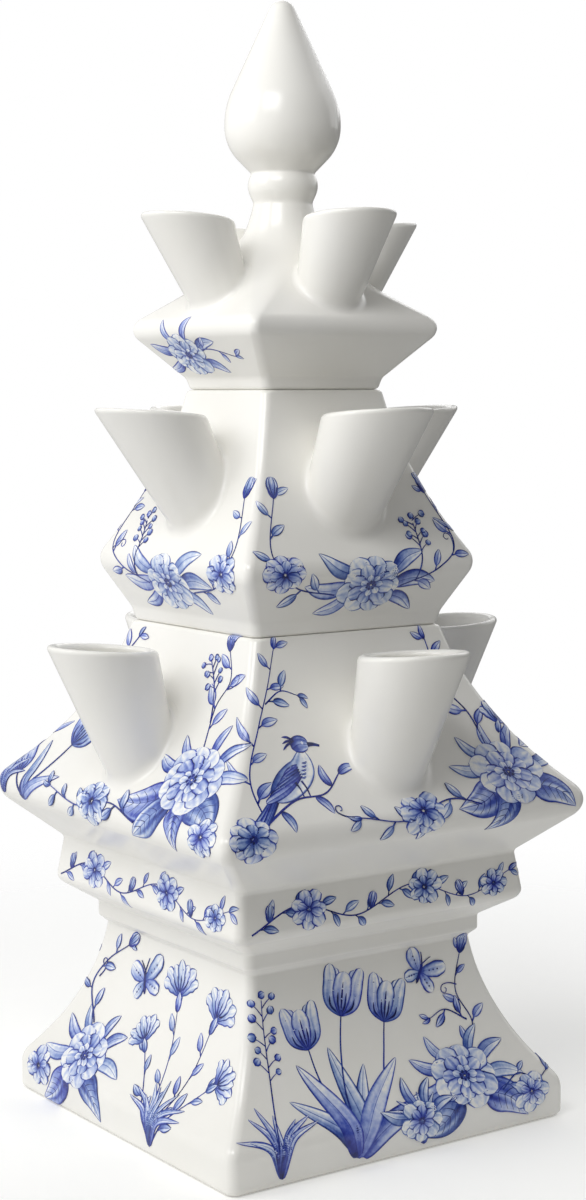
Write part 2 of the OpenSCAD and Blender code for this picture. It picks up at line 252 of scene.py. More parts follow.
def roundedOutline(corners, longest=outlineMake["longest"], arcStep=outlineMake["arcStep"]):
    points = [np.array(c[:2], float) for c in corners]
    last = len(points) - 1
    halves = [0.0] * (last + 1)
    touch = [0.0] * (last + 1)
    for i in range(1, last):
        cosine = np.dot(unit(points[i - 1] - points[i]), unit(points[i + 1] - points[i]))
        halves[i] = math.acos(max(-1.0, min(1.0, cosine))) / 2
        touch[i] = corners[i][2] / math.tan(halves[i])
    sides = [np.linalg.norm(points[i + 1] - points[i]) for i in range(last)]
    fit = [min(1.0, outlineMake["mostOfSide"] * sides[i] / max(tiny, touch[i] + touch[i + 1]))
           for i in range(last)]
    outline = [points[0]]
    for i in range(1, last):
        reach = touch[i] * min(fit[i - 1], fit[i])
        if reach < tiny:
            outline.append(points[i])
            continue
        u = unit(points[i - 1] - points[i])
        v = unit(points[i + 1] - points[i])
        centre = points[i] + unit(u + v) * reach / math.cos(halves[i])
        start = points[i] + u * reach - centre
        turn = math.pi - 2 * halves[i]
        way = 1 if u[1] * v[0] - u[0] * v[1] > 0 else -1
        length = turn * np.linalg.norm(start)
        steps = max(3, math.ceil(math.degrees(turn) / arcStep), math.ceil(length / longest))
        for k in range(steps + 1):
            c, s = math.cos(way * turn * k / steps), math.sin(way * turn * k / steps)
            outline.append(centre + np.array((start[0] * c - start[1] * s, start[0] * s + start[1] * c)))
    outline.append(points[last])
    filled = [outline[0]]
    for a, b in zip(outline, outline[1:]):
        parts = max(1, math.ceil(np.linalg.norm(b - a) / longest))
        filled += [a + (b - a) * k / parts for k in range(1, parts + 1)]
    return np.array(filled)


def insetCorners(corners, wall):
    moved = []
    for a, b, c in zip(corners, corners[1:], corners[2:]):
        u = unit(np.subtract(b[:2], a[:2]))
        v = unit(np.subtract(c[:2], b[:2]))
        n = np.array((-u[1], u[0]))
        m = np.array((-v[1], v[0]))
        p = np.array(b[:2]) + (n + m) * wall / (1 + n @ m)
        convex = u[0] * v[1] - u[1] * v[0] > 0
        moved.append((p[0], p[1], max(outlineMake["leastRounding"], b[2] - wall) if convex else b[2] + wall))
    return moved


# The three tiers, as they stand in the frame. Corners run up the outside from the tier's bottom, and the
# frame gives the height of the rim at their end. A land is the mouth's half width and how deep its wall is.
baseTop, middleTop, topTop, vaseTop = (
    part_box(node)[1].z / mm for node in ("base_tier", "middle_tier", "top_tier", "finial"))
baseTier = {
    "name": "base_tier",
    "body": "base",
    "bottom": 0.0,
    "top": baseTop,
    "corners": [
        (79.3, 0, 2.7), (79.3, 14.8, 10), (57.7, 43, 103), (52.9, 71.5, 1.6), (55.7, 74.3, 1.6),
        (55.7, 80.2, 1.8), (68.2, 88.5, 4.5), (65.6, 106.3, 2.8), (88.5, 126.7, 8.4), (56.2, 160, 130),
    ],
    "rim": (44.5, 1.8),
    "sill": (4, 5),  # corners that the inside of the wall skips
    "under": [(40, 3, 0), (69.4, 3, 2.5), (69.4, 0, 1.2)],
    "floor": 9.0,
    "land": (34.5, 6.0),
    "plan": 3.8,  # radius of the upright corners
    "flatSteps": 20,
}
middleTier = {
    "name": "middle_tier",
    "body": "middle",
    "bottom": baseTop,
    "top": middleTop,
    "corners": [(43.5, 0, 1.8), (44.9, 5.5, 8), (55.1, 25, 9), (36, 57.5, 180)],
    "rim": (28.3, 1.8),
    "sill": (),
    "under": [(12, 0, 0), (29.3, 0, 1.5), (29.5, -6, 1.5), (33.5, -6, 1.5), (33.5, 0, 1.0)],
    "floor": 6.0,
    "land": (18.3, 6.0),
    "plan": 3.5,
    "flatSteps": 16,
}
topTier = {
    "name": "top_tier",
    "body": "top",
    "bottom": middleTop,
    "top": topTop,
    "corners": [(27.3, 0, 1.8), (28.5, 4.5, 5), (46.2, 24.2, 6), (17.2, 48.8, 70)],
    "rim": (11.7, 0.3),
    "sill": (),
    "under": [(6, 0, 0), (13.2, 0, 1.2), (13.3, -6, 1.4), (17.3, -6, 1.4), (17.3, 0, 1.0)],
    "floor": 6.0,
    "land": (7.5, 6.0),
    "plan": 3.2,
    "rounding": (24.2, 65.5),  # heights between which the roof's section turns from square to round
    "flatSteps": 14,
}
tierMake = {
    "wall": 5.0,
    "turnUnder": 3.0,  # how far the outside turns in under the foot
    "turnOver": 2.5,  # and over the rim
    "mouthRound": 1.4,
    "landRound": 1.0,
    "shoulderRound": 2.0,
    "floorRound": 4,
    "floorMiddle": 8,  # half width of the flat that closes the floor
    "leastShoulder": 0.5,
    "cornerSteps": 10,
    "underSteps": (8.0, 15.0),  # coarser steps for the outlines that hardly show
    "insideSteps": (8.0, 12.0),
    "bareBelow": 0.3,
}
wobbleMake = {"most": 0.22, "wave": 31.0, "still": 1.5, "fade": 9.0}


def planRadius(tier, w, z):
    radius = np.full(np.shape(w), tier["plan"], float)
    if "rounding" in tier:
        low, high = tier["rounding"]
        t = np.clip((z - tier["bottom"] - low) / (high - low), 0, 1)
        radius += np.maximum(0, w - tier["plan"]) * t * t * (3 - 2 * t)
    return np.minimum(radius, w - 0.02)


def wobble(tier, points):
    # a casting warps a little as it dries, less at the seams and the foot
    height = np.minimum(points[:, 2] - tier["bottom"], tier["top"] - points[:, 2])
    fade = np.clip((height - wobbleMake["still"]) / wobbleMake["fade"], 0, 1)
    waves = np.array([noise.noise(Vector(p / wobbleMake["wave"])) for p in points])
    return wobbleMake["most"] * waves * fade * fade * (3 - 2 * fade)


def prepareTier(tier):
    # the outline as it stands, the run along it, and the way outwards at each point
    corners = [(w, h + tier["bottom"], r) for w, h, r in tier["corners"]]
    corners.append((tier["rim"][0], tier["top"], tier["rim"][1]))
    tier["standing"] = corners
    foot = (corners[0][0] - tierMake["turnUnder"], corners[0][1], 0)
    rim = (corners[-1][0] - tierMake["turnOver"], corners[-1][1], 0)
    tier["outer"] = roundedOutline([foot, *corners, rim])
    steps = np.linalg.norm(np.diff(tier["outer"], axis=0), axis=1)
    tier["run"] = np.concatenate([[0], np.cumsum(steps)])
    ways = np.diff(tier["outer"], axis=0) / steps[:, None]
    ways = np.vstack([ways[:1], ways[:-1] + ways[1:], ways[-1:]])
    ways /= np.linalg.norm(ways, axis=1)[:, None]
    tier["normals"] = np.stack([ways[:, 1], -ways[:, 0]], 1)


for tier in (baseTier, middleTier, topTier):
    prepareTier(tier)


def runAt(tier, z):
    return float(np.interp(z, tier["outer"][:, 1], tier["run"]))


def halfWidthAt(tier, z):
    return np.interp(z, tier["outer"][:, 1], tier["outer"][:, 0])


def onFace(tier, face, across, run, lift):
    # points on the outside of a tier, from the middle of a face round its corners, lift outwards
    run = np.clip(run, 0, tier["run"][-1])
    w, z, out, up = (np.interp(run, tier["run"], values) for values in (*tier["outer"].T, *tier["normals"].T))
    r = planRadius(tier, w, z)
    flat = w - r
    side = np.sign(across)
    turn = np.clip((np.abs(across) - flat) / r, 0, math.pi / 2)
    beyond = np.maximum(0, np.abs(across) - flat - r * math.pi / 2)
    x = side * (np.minimum(np.abs(across), flat) + r * np.sin(turn))
    y = -(flat + r * np.cos(turn)) + beyond
    hx, hy = side * np.sin(turn), -np.cos(turn)
    length = np.hypot(out, up)
    normals = np.stack([hx * out / length, hy * out / length, up / length], 1) @ quarterTurns[face]
    points = np.stack([x, y, z], 1) @ quarterTurns[face]
    return points + normals * (wobble(tier, points) + lift)[:, None], normals


# Spouts: leaning cones. r is the mouth's radius, d its distance from the axis, drop how far it is below the
# tier's top, lean and flare are for each millimetre of height, and blend is the fillet of slip at the root.
spouts = {
    "base": {"r": 20.7, "d": 83.3, "drop": 4.5, "lean": 0.36, "flare": 0.13, "blend": 4.2},
    "middle": {"r": 20.8, "d": 61.5, "drop": 7.9, "lean": 0.6, "flare": 0.13, "blend": 3.8},
    "top": {"r": 17.6, "d": 44.3, "drop": 5.5, "lean": 0.465, "flare": 0.163, "blend": 3.4},
}
spoutMake = {
    "wall": 4.0,
    "tilt": 4.2,  # degrees by which the mouth tips outwards
    "around": 72,
    "blendRows": 9,
    "sideRows": 14,
    "lipRows": 9,
    "boreRows": 12,
    "sunk": 1.2,  # the fillet's edge goes this far into the wall
    "mostBlend": 0.7,  # share of the side that the fillet may take
    "boreDepth": 2.2,  # walls that the bore goes past the outside, and the cutter of its hole
    "cutDepth": 3.5,
    "cutSides": 32,
    "cutRoom": 0.8,
    "searchBelow": 2,  # the search for a cone's root starts this far below the mouth
    "searchStep": 0.25,
}


def spoutLine(spout, mouthZ, angle, z, inside=0.0):
    # a point on the cone's side at height z, on the front face
    r = spout["r"] + spout["flare"] * (z - mouthZ) - inside
    c = spout["d"] + spout["lean"] * (z - mouthZ)
    return np.array((r * math.cos(angle), -c + r * math.sin(angle), z))


def lipHeight(spout, mouthZ, angle, inside=0.0):
    slope = math.tan(math.radians(spoutMake["tilt"]))
    s = math.sin(angle)
    fall = slope * (spout["r"] - inside) * s
    return mouthZ - fall / (1 - slope * spout["lean"] + slope * spout["flare"] * s)


def rootHeight(tier, spout, mouthZ, angle, inside=0.0, sunk=0.0):
    # where the cone's side goes into the face, or into the wall by sunk
    for z in np.arange(mouthZ - spoutMake["searchBelow"], tier["bottom"], -spoutMake["searchStep"]):
        if -spoutLine(spout, mouthZ, angle, z, inside)[1] < halfWidthAt(tier, z) - sunk:
            return z
    return mouthZ


def makeSpout(tier, name, face):
    spout = spouts[tier["body"]]
    make = spoutMake
    n = make["around"]
    mouthZ = tier["top"] - spout["drop"]
    angles = [math.tau * k / n for k in range(n)]

    def ring(heights, inside=0.0):
        return np.array([spoutLine(spout, mouthZ, a, z, inside) for a, z in zip(angles, heights)])

    roots = ring([rootHeight(tier, spout, mouthZ, a) for a in angles])
    flat = np.stack([roots[:, 0], [runAt(tier, z) for z in roots[:, 2]]], 1)
    for _ in range(3):  # evens out the steps of the search
        flat = (np.roll(flat, 1, 0) + 2 * flat + np.roll(flat, -1, 0)) / 4
    along = np.roll(flat, -1, 0) - np.roll(flat, 1, 0)
    outward = np.stack([along[:, 1], -along[:, 0]], 1) / np.linalg.norm(along, axis=1)[:, None]
    outward *= np.sign(((flat - flat.mean(0)) * outward).sum())
    # the painting keeps clear of the bore
    tier["root"] = (flat.mean(0), np.ptp(flat, axis=0) / 2 - make["wall"] / 2)
    feet = flat + outward * spout["blend"]
    foot, footNormals = onFace(tier, 0, *feet.T, 0.0)
    root = onFace(tier, 0, *flat.T, 0.0)[0]
    low = root[:, 2]
    brims = np.array([lipHeight(spout, mouthZ, a) for a in angles])
    lift = np.minimum(low + spout["blend"], low + make["mostBlend"] * (brims - low))
    sides = ring(lift)
    rings = [onFace(tier, 0, *feet.T, -make["sunk"])[0]]
    for t in np.arange(make["blendRows"] + 1) / make["blendRows"]:
        rings.append((1 - t) ** 2 * foot + 2 * t * (1 - t) * root + t * t * sides)
    half = make["wall"] / 2
    lips = np.array([lipHeight(spout, mouthZ, a, half) for a in angles])
    for k in range(1, make["sideRows"] + 1):
        rings.append(ring(lift + (lips - half - lift) * (k / make["sideRows"])))
    for k in range(1, make["lipRows"]):
        t = math.pi * k / make["lipRows"]
        rings.append(ring(lips - half + half * math.sin(t), half - half * math.cos(t)))
    ends = np.array([rootHeight(tier, spout, mouthZ, a, make["wall"], make["boreDepth"] * tierMake["wall"])
                     for a in angles])
    for k in range(make["boreRows"] + 1):
        rings.append(ring(lips - half + (ends - lips + half) * (k / make["boreRows"]), make["wall"]))
    spin = quarterTurns[face]
    piece = newPiece(name, np.concatenate(rings) @ spin, ringFaces(len(rings), n, True), glaze)
    sharpen(piece, n, 2 * n)
    settle(piece, ("WEIGHTED_NORMAL", {"weight": normalWeight, "keep_sharp": True}))
    # the fillet's foot takes the tier's own normals, so the glaze runs on without an edge
    mesh = piece.data
    corners = np.array([normal.vector for normal in mesh.corner_normals])
    loops = readAll(mesh.loops, "vertex_index", np.int32)
    onFoot = (loops >= n) & (loops < 2 * n)
    onFoot[:4 * n] = False
    corners[onFoot] = (footNormals @ spin)[loops[onFoot] - n]
    mesh.normals_split_custom_set(corners.tolist())
    return piece


def boreCutter(tier):
    # four cones, a little wider than the bores, that open the wall behind each spout
    spout = spouts[tier["body"]]
    mouthZ = tier["top"] - spout["drop"]
    n = spoutMake["cutSides"]
    low = rootHeight(tier, spout, mouthZ, -math.pi / 2, 0, spoutMake["cutDepth"] * tierMake["wall"])
    inside = spoutMake["wall"] - spoutMake["cutRoom"]
    cone = np.array([spoutLine(spout, mouthZ, math.tau * k / n, z, inside)
                     for z in (low, mouthZ) for k in range(n)])
    points = np.concatenate([cone @ spin for spin in quarterTurns])
    faces = [[len(cone) * face + v for v in corners]
             for face in range(4) for corners in ringFaces(2, n) + lids(2, n)]
    cutter = newPiece("cutter", points, faces, glaze)
    cutter.hide_render = True
    return cutter


def insideCorners(tier):
    # from the rim down the mouth, under the shoulder, down the wall and over the floor
    make, wall = tierMake, tierMake["wall"]
    standing = tier["standing"]
    rim, top = standing[-1][0], tier["top"]
    mouth, land = tier["land"]
    shoulder = top - land
    inner = insetCorners([c for i, c in enumerate(standing) if i not in tier["sill"]], wall)
    slope = (inner[-1][0] - (rim - wall)) / (top - inner[-1][1])
    reach = max(mouth + make["leastShoulder"], inner[-1][0] - slope * (shoulder - inner[-1][1]))
    floorZ = tier["bottom"] + tier["floor"]
    foot = inner[0][0] if tier is baseTier else standing[0][0] - wall
    ledge = [] if tier is topTier else [(reach, shoulder, make["shoulderRound"])]
    return [
        (rim - make["turnOver"], top, 0),
        (mouth, top, make["mouthRound"]),
        (mouth, shoulder, make["landRound"]),
        *ledge,
        *reversed(inner),
        (foot, floorZ, make["floorRound"]),
        (make["floorMiddle"], floorZ, 0),
    ]


def makeTier(tier):
    make = tierMake
    first = tier["standing"][0]
    under = [(w, h + tier["bottom"], r) for w, h, r in tier["under"]]
    heel = (first[0] - make["turnUnder"], first[1], 0)
    parts = [
        roundedOutline([*under, heel], *make["underSteps"])[:-1],
        tier["outer"],
        roundedOutline(insideCorners(tier), *make["insideSteps"])[1:],
    ]
    profile = np.concatenate(parts)
    outside = np.repeat((False, True, False), [len(part) for part in parts])
    radii = planRadius(tier, profile[:, 0], profile[:, 1])
    flatSteps, cornerSteps = tier["flatSteps"], make["cornerSteps"]
    turns = [0.0] * flatSteps + [math.pi / 2 * k / cornerSteps for k in range(cornerSteps)]
    lean = np.zeros((len(profile), 2))
    lean[outside] = tier["normals"]
    rings, outwards = [], []
    for (w, h), r, (out, up) in zip(profile, radii, lean):
        flats = [((w - r) * (2 * k / flatSteps - 1), -w, h) for k in range(flatSteps)]
        arcs = [(w - r + r * math.sin(a), -(w - r) - r * math.cos(a), h) for a in turns[flatSteps:]]
        one = np.array(flats + arcs)
        way = np.stack([out * np.sin(turns), -out * np.cos(turns), np.full(len(turns), up)], 1)
        rings += [one @ spin for spin in quarterTurns]
        outwards += [way @ spin for spin in quarterTurns]
    n = 4 * len(turns)
    points, outwards = np.concatenate(rings), np.concatenate(outwards)
    mask = np.repeat(outside, n)
    points[mask] += outwards[mask] * wobble(tier, points[mask])[:, None]
    faces = ringFaces(len(profile), n) + lids(len(profile), n)
    piece = newPiece("vase_" + tier["name"], points, faces, glaze)
    cutter = boreCutter(tier)
    settle(piece, ("BOOLEAN", {"object": cutter, "operation": "DIFFERENCE", "solver": "EXACT"}),
           ("WEIGHTED_NORMAL", {"weight": normalWeight}))
    bpy.data.objects.remove(cutter)
    if tier is baseTier:
        piece.data.materials.append(bisque)
        for face in piece.data.polygons:
            if all(piece.data.vertices[v].co.z < make["bareBelow"] * mm for v in face.vertices):
                face.material_index = 1
    return piece


for tier in (baseTier, middleTier, topTier):
    piece = makeTier(tier)
    finish(piece, tier["body"], "white_glaze", tier["name"])
    for face, faceName in enumerate(faceNames):
        node = tier["body"] + "_spout_" + faceName
        finish(makeSpout(tier, "vase_" + node, face), tier["body"], "white_glaze", node)
    print(tier["name"], "made with its spouts:", len(piece.data.polygons), "faces")

# Finial: a bead and a pointed bulb, thrown as one and turned about the axis. Its corners are (radius, height
# above the neck, rounding), and the first two run the glaze down over the joint with the neck.
finialMake = {
    "corners": [(12.14, -1.6, 0), (11.45, 1.1, 2.6), (14.3, 7.6, 8), (12.35, 12.6, 1.1), (22.6, 23.1, 18),
                (22.6, 38.1, 32)],
    "angle": 25.3,  # degrees between the bulb's flank and the axis
    "around": 96,
    "steps": (2.0, 4.0),
    "tipSteps": 12,
}


def makeFinial():
    make = finialMake
    angle = math.radians(make["angle"])
    shoulder = make["corners"][-1]
    height = vaseTop - topTop
    point = shoulder[1] + shoulder[0] / math.tan(angle)
    tip = (point - height) / (1 / math.sin(angle) - 1)  # rounding that ends at the vase's height
    flanks = roundedOutline([*make["corners"], (0, point, 0)], *make["steps"])
    tangent = height - tip + tip * math.sin(angle)
    outline = [tuple(p) for p in flanks if p[1] < tangent]
    outline += [(tip * math.cos(a), height - tip + tip * math.sin(a))
                for a in np.linspace(angle, math.pi / 2, make["tipSteps"])[:-1]]
    n = make["around"]
    points = [(r * math.cos(math.tau * k / n), r * math.sin(math.tau * k / n), topTop + z)
              for r, z in outline for k in range(n)]
    points.append((0, 0, vaseTop))
    foot, last = lids(len(outline), n)
    faces = ringFaces(len(outline), n)
    faces += [[last[k], last[(k + 1) % n], len(points) - 1] for k in range(n)]
    faces.append(foot)
    piece = newPiece("vase_finial", points, faces, glaze)
    sharpen(piece, 0, n)
    return settle(piece, ("WEIGHTED_NORMAL", {"weight": normalWeight, "keep_sharp": True}))


finish(makeFinial(), "top", "white_glaze", "finial")
print("finial made")

# Painting: every brush stroke is a thin closed sheet, drawn flat on a face that is unrolled to (across, run)
# in millimetres and then laid on the tier. wash is the strength of the cobalt, tint its lean to grey.
paintMake = {
    "seed": 11,
    "lift": 0.1,  # of the lowest coat above the glaze
    "coat": 0.0016,  # by which each stroke lies over the last
    "sunk": 0.05,  # of a sheet's under side into the glaze
    "step": 0.8,  # between points along a stroke
    "thinnest": 0.06,  # half width at a stroke's ends
    "between": 12,  # points between two given ones, before they are evened out
    "bleed": 0.12,  # between a stroke's outline and its wash
    "rib": 0.2,
    "most": (0.3, 0.2, 0.12),  # of the half width, for the outline, the bleed and the rib
    "streaks": ((0.6, 8, 1.2), (0.4, 13, -2)),  # weight, waves across and drift along
    "easing": 0.18,  # how much paler an outline gets in places
    "spread": 0.1,  # from one grown stroke to the next
    "fade": 0.58,  # under 1 a stroke runs pale soon after its root
    "fill": ((1.5, 1), (4, 5), (10, 9), (math.inf, 17)),  # columns of wash in strokes up to a width
    "limits": (0.01, 0.99),
}
brush = random.Random(paintMake["seed"])

strokeShapes = {
    "leaf": lambda t: t ** 0.6 * (1 - t) ** 0.8,
    "stalked": lambda t: np.maximum(0.05, np.clip((t - 0.22) / 0.78, 0, 1) ** 0.6 * (1 - t) ** 0.8),
    "broad": lambda t: t ** 0.5 * (1 - t) ** 1.05,
    "blade": lambda t: t ** 0.35 * (1 - t) ** 0.7,
    "petal": lambda t: t ** 0.75 * (1 - t) ** 0.42,
    "stem": lambda t: 1 - 0.55 * t,
    "touch": lambda t: (t * (1 - t)) ** 0.6,
    "round": lambda t: (t * (1 - t)) ** 0.5,
    "body": lambda t: t ** 0.55 * (1 - t) ** 0.6,
}
# the wash at a stroke's root and its tip, of its outline and its rib, how deep its streaks are, how much one
# side is deeper than the other, and how wide the outline is
strokeTones = {
    "leaf": (1.0, 0.02, 0.92, 0.98, 0.14, 0.26, 0.2),
    "paleLeaf": (0.75, 0.0, 0.82, 0.8, 0.12, 0.16, 0.2),
    "broadLeaf": (1.0, 0.12, 0.9, 1.0, 0.32, 0.14, 0.28),
    "petal": (0.92, 0.0, 0.86, None, 0.18, 0.1, 0.24),
    "deepPetal": (1.0, 0.14, 0.94, None, 0.22, 0.1, 0.22),
    "stem": (0.92, 0.74, 0.92, None, 0.1, 0.1, 0.2),
    "ink": (0.98, 0.9, 0.98, None, 0.04, 0.0, 0.2),
    "feather": (1.0, 0.3, 0.96, 0.98, 0.2, 0.14, 0.22),
    "down": (0.72, 0.04, 0.84, None, 0.16, 0.32, 0.24),
    "wash": (0.34, 0.08, 0.14, None, 0.08, 0.06, 0.3),
}
sheetParts = ("flat", "wash", "tint", "rise", "layer")


def newPanel(way):
    return {**{part: [] for part in sheetParts}, "faces": [], "size": 0, "next": 0, "way": way}


def addSheet(panel, flat, wash, tint, rise, faces, layers=None):
    own = np.zeros(len(flat), int) if layers is None else layers
    for part, values in zip(sheetParts, (flat, wash, tint, rise, own + panel["next"])):
        panel[part].append(values)
    panel["faces"] += [[v + panel["size"] for v in face] for face in faces]
    panel["size"] += len(flat)
    panel["next"] += int(own.max()) + 1


def moved(points, at=(0, 0), turn=0.0, size=1.0):
    c, s = math.cos(math.radians(turn)) * size, math.sin(math.radians(turn)) * size
    x, y = np.asarray(points, float).T
    return np.stack([at[0] + x * c - y * s, at[1] + x * s + y * c], 1)


def ahead(at, turn, reach):
    return moved([(reach, 0)], at, turn)[0]


def heading(line):
    d = np.subtract(line[-1], line[-2])
    return math.degrees(math.atan2(d[1], d[0]))


def smoothLine(points, step):
    # an even run of points on the curve through the given ones
    p = np.asarray(points, float)
    p = np.vstack([2 * p[0] - p[1], p, 2 * p[-1] - p[-2]])
    t = np.linspace(0, 1, paintMake["between"] + 1)[:-1, None]
    parts = []
    for a, b, c, d in zip(p, p[1:], p[2:], p[3:]):
        parts.append(0.5 * (2 * b + (c - a) * t + (2 * a - 5 * b + 4 * c - d) * t ** 2
                            + (3 * b - a - 3 * c + d) * t ** 3))
    line = np.vstack([*parts, p[-2:-1]])
    run = np.concatenate([[0], np.cumsum(np.linalg.norm(np.diff(line, axis=0), axis=1))])
    even = np.linspace(0, run[-1], max(4, math.ceil(run[-1] / step) + 1))
    return np.stack([np.interp(even, run, line[:, 0]), np.interp(even, run, line[:, 1])], 1)


def widest(shape):
    return strokeShapes[shape](np.linspace(0, 1, 41)).max()


def strokeSheet(spine, width, shape, tone, ruffle=0.0):
    make = paintMake
    root, tip, outline, rib, streak, side, edge = strokeTones[tone]
    line = smoothLine(spine, make["step"])
    t = np.linspace(0, 1, len(line))
    half = width / 2 * strokeShapes[shape](t) / widest(shape)
    half = half * (1 + ruffle * np.sin(17 * t + brush.uniform(0, 6)) * t)
    half = np.maximum(half, make["thinnest"])
    way = np.gradient(line, axis=0)
    way /= np.linalg.norm(way, axis=1)[:, None]
    left = np.stack([-way[:, 1], way[:, 0]], 1)
    # columns across the stroke: its outline on both sides, the wash between them, and the rib
    mostRim, mostBleed, mostRib = make["most"]
    rim = np.minimum(mostRim, edge / half)
    inner = 1 - rim - np.minimum(mostBleed, make["bleed"] / half)
    fill = next(columns for limit, columns in make["fill"] if width < limit)
    columns = [-np.ones_like(t), -(1 - rim)]
    columns += [inner * (2 * (k + 1) / (fill + 1) - 1) for k in range(fill)]
    columns += [1 - rim, np.ones_like(t)]
    middle = len(columns) // 2
    ribbed = rib is not None and fill > 1
    if ribbed:
        beside = np.minimum(mostRib, make["rib"] / half)
        columns[middle:middle + 1] = [-beside, np.zeros_like(t), beside]
        middle += 1
    c = np.stack(columns, 1)
    phases = [brush.uniform(0, 6.28) for _ in make["streaks"]]
    streaks = sum(share * np.sin(waves * c + phase + drift * t[:, None])
                  for (share, waves, drift), phase in zip(make["streaks"], phases))
    wash = root + (tip - root) * t[:, None] ** make["fade"] + side * c
    wash = wash + streak * streaks * (0.4 + 0.6 * t[:, None])
    weight = 1 - make["easing"] * (1 + np.sin(5 * t + phases[0])) / 2
    wash[:, [0, 1, -2, -1]] = (outline * weight)[:, None]
    if ribbed:
        wash[:, middle] = rib - 0.25 * t
    wash = np.clip(wash.ravel(), *make["limits"])
    flat = (line[:, None] + left[:, None] * (half[:, None] * c)[:, :, None]).reshape(-1, 2)
    tint = np.clip(0.5 + brush.uniform(-0.3, 0.3) + 0.1 * c, 0.02, 0.98).ravel()
    # the upper side, then an under side that has only the two rims
    rows, cols = c.shape
    last = cols - 1
    under = rows * cols
    faces = []
    for i in range(rows - 1):
        near, far = i * cols, (i + 1) * cols
        faces += [[near + j, far + j, far + j + 1, near + j + 1] for j in range(last)]
        low, high = under + 2 * i, under + 2 * i + 2
        faces.append([low, low + 1, high + 1, high])
        faces.append([near, low, high, far])
        faces.append([near + last, far + last, high + 1, low + 1])
    faces.append([*range(cols), under + 1, under])
    end = (rows - 1) * cols
    faces.append([*range(end + last, end - 1, -1), under + 2 * rows - 2, under + 2 * rows - 1])
    edges = np.arange(rows) * cols
    rims = np.stack([edges, edges + last], 1).ravel()
    flat, wash, tint = (np.concatenate([values, values[rims]]) for values in (flat, wash, tint))
    return flat, wash, tint, np.repeat((1.0, 0.0), (under, 2 * rows)), faces


def stroke(panel, spine, width, shape, tone, ruffle=0.0):
    addSheet(panel, *strokeSheet(spine, width, shape, tone, ruffle))


# Geometry Nodes: a ring of petals and a stem set with leaves, grown from one stroke each
seedNames = ("Turn Seed", "Size Seed", "Tone Seed")
sharedInputs = {
    "Stroke": "Object", "Finish": "Material",
    "Least Turn": "Float", "Most Turn": "Float", "Least Size": "Float", "Most Size": "Float",
    **{label: "Int" for label in seedNames},
}


def newTree(name, sockets):
    # named inputs by kind, with a turn and a size that are drawn for each stroke
    tree = bpy.data.node_groups.new(name, "GeometryNodeTree")
    tree.interface.new_socket("Geometry", in_out="OUTPUT", socket_type="NodeSocketGeometry")
    for label, kind in {**sockets, **sharedInputs}.items():
        tree.interface.new_socket(label, in_out="INPUT", socket_type="NodeSocket" + kind)
    given = addNode(tree, "NodeGroupInput").outputs
    turn, size = (addNode(tree, "FunctionNodeRandomValue", {
        2: given["Least " + what], 3: given["Most " + what], 8: given[what + " Seed"]}, data_type="FLOAT")
        for what in ("Turn", "Size"))
    return tree, given, turn, size


def growOn(tree, points, given, angle, size):
    # sets strokes on points, each a little paler or deeper than the next, as one plain mesh
    shape = addNode(tree, "GeometryNodeObjectInfo", {"Object": given["Stroke"]})
    grown = addNode(tree, "GeometryNodeInstanceOnPoints", {
        "Points": points, "Instance": shape.outputs["Geometry"],
        "Rotation": addNode(tree, "ShaderNodeCombineXYZ", {"Z": angle}), "Scale": size})
    order = addNode(tree, "GeometryNodeInputIndex")
    spread = paintMake["spread"]
    depth = addNode(tree, "FunctionNodeRandomValue", {
        2: -spread, 3: spread, 8: given["Tone Seed"]}, data_type="FLOAT")
    for label, value in (("order", order), ("depth", depth)):
        grown = addNode(tree, "GeometryNodeStoreNamedAttribute", {
            "Geometry": grown, "Name": label, "Value": value}, data_type="FLOAT", domain="INSTANCE")
    whole = addNode(tree, "GeometryNodeRealizeInstances", {"Geometry": grown})
    finished = addNode(tree, "GeometryNodeSetMaterial", {"Geometry": whole, "Material": given["Finish"]})
    addNode(tree, "NodeGroupOutput", {0: finished})


def petalRingTree():
    tree, given, turn, size = newTree("petalRing", {"Petals": "Int", "Step": "Float"})
    points = addNode(tree, "GeometryNodePoints", {"Count": given["Petals"]})
    index = addNode(tree, "GeometryNodeInputIndex")
    angle = addNode(tree, "ShaderNodeMath", {0: index, 1: given["Step"], 2: turn}, operation="MULTIPLY_ADD")
    growOn(tree, points, given, angle, size)
    return tree


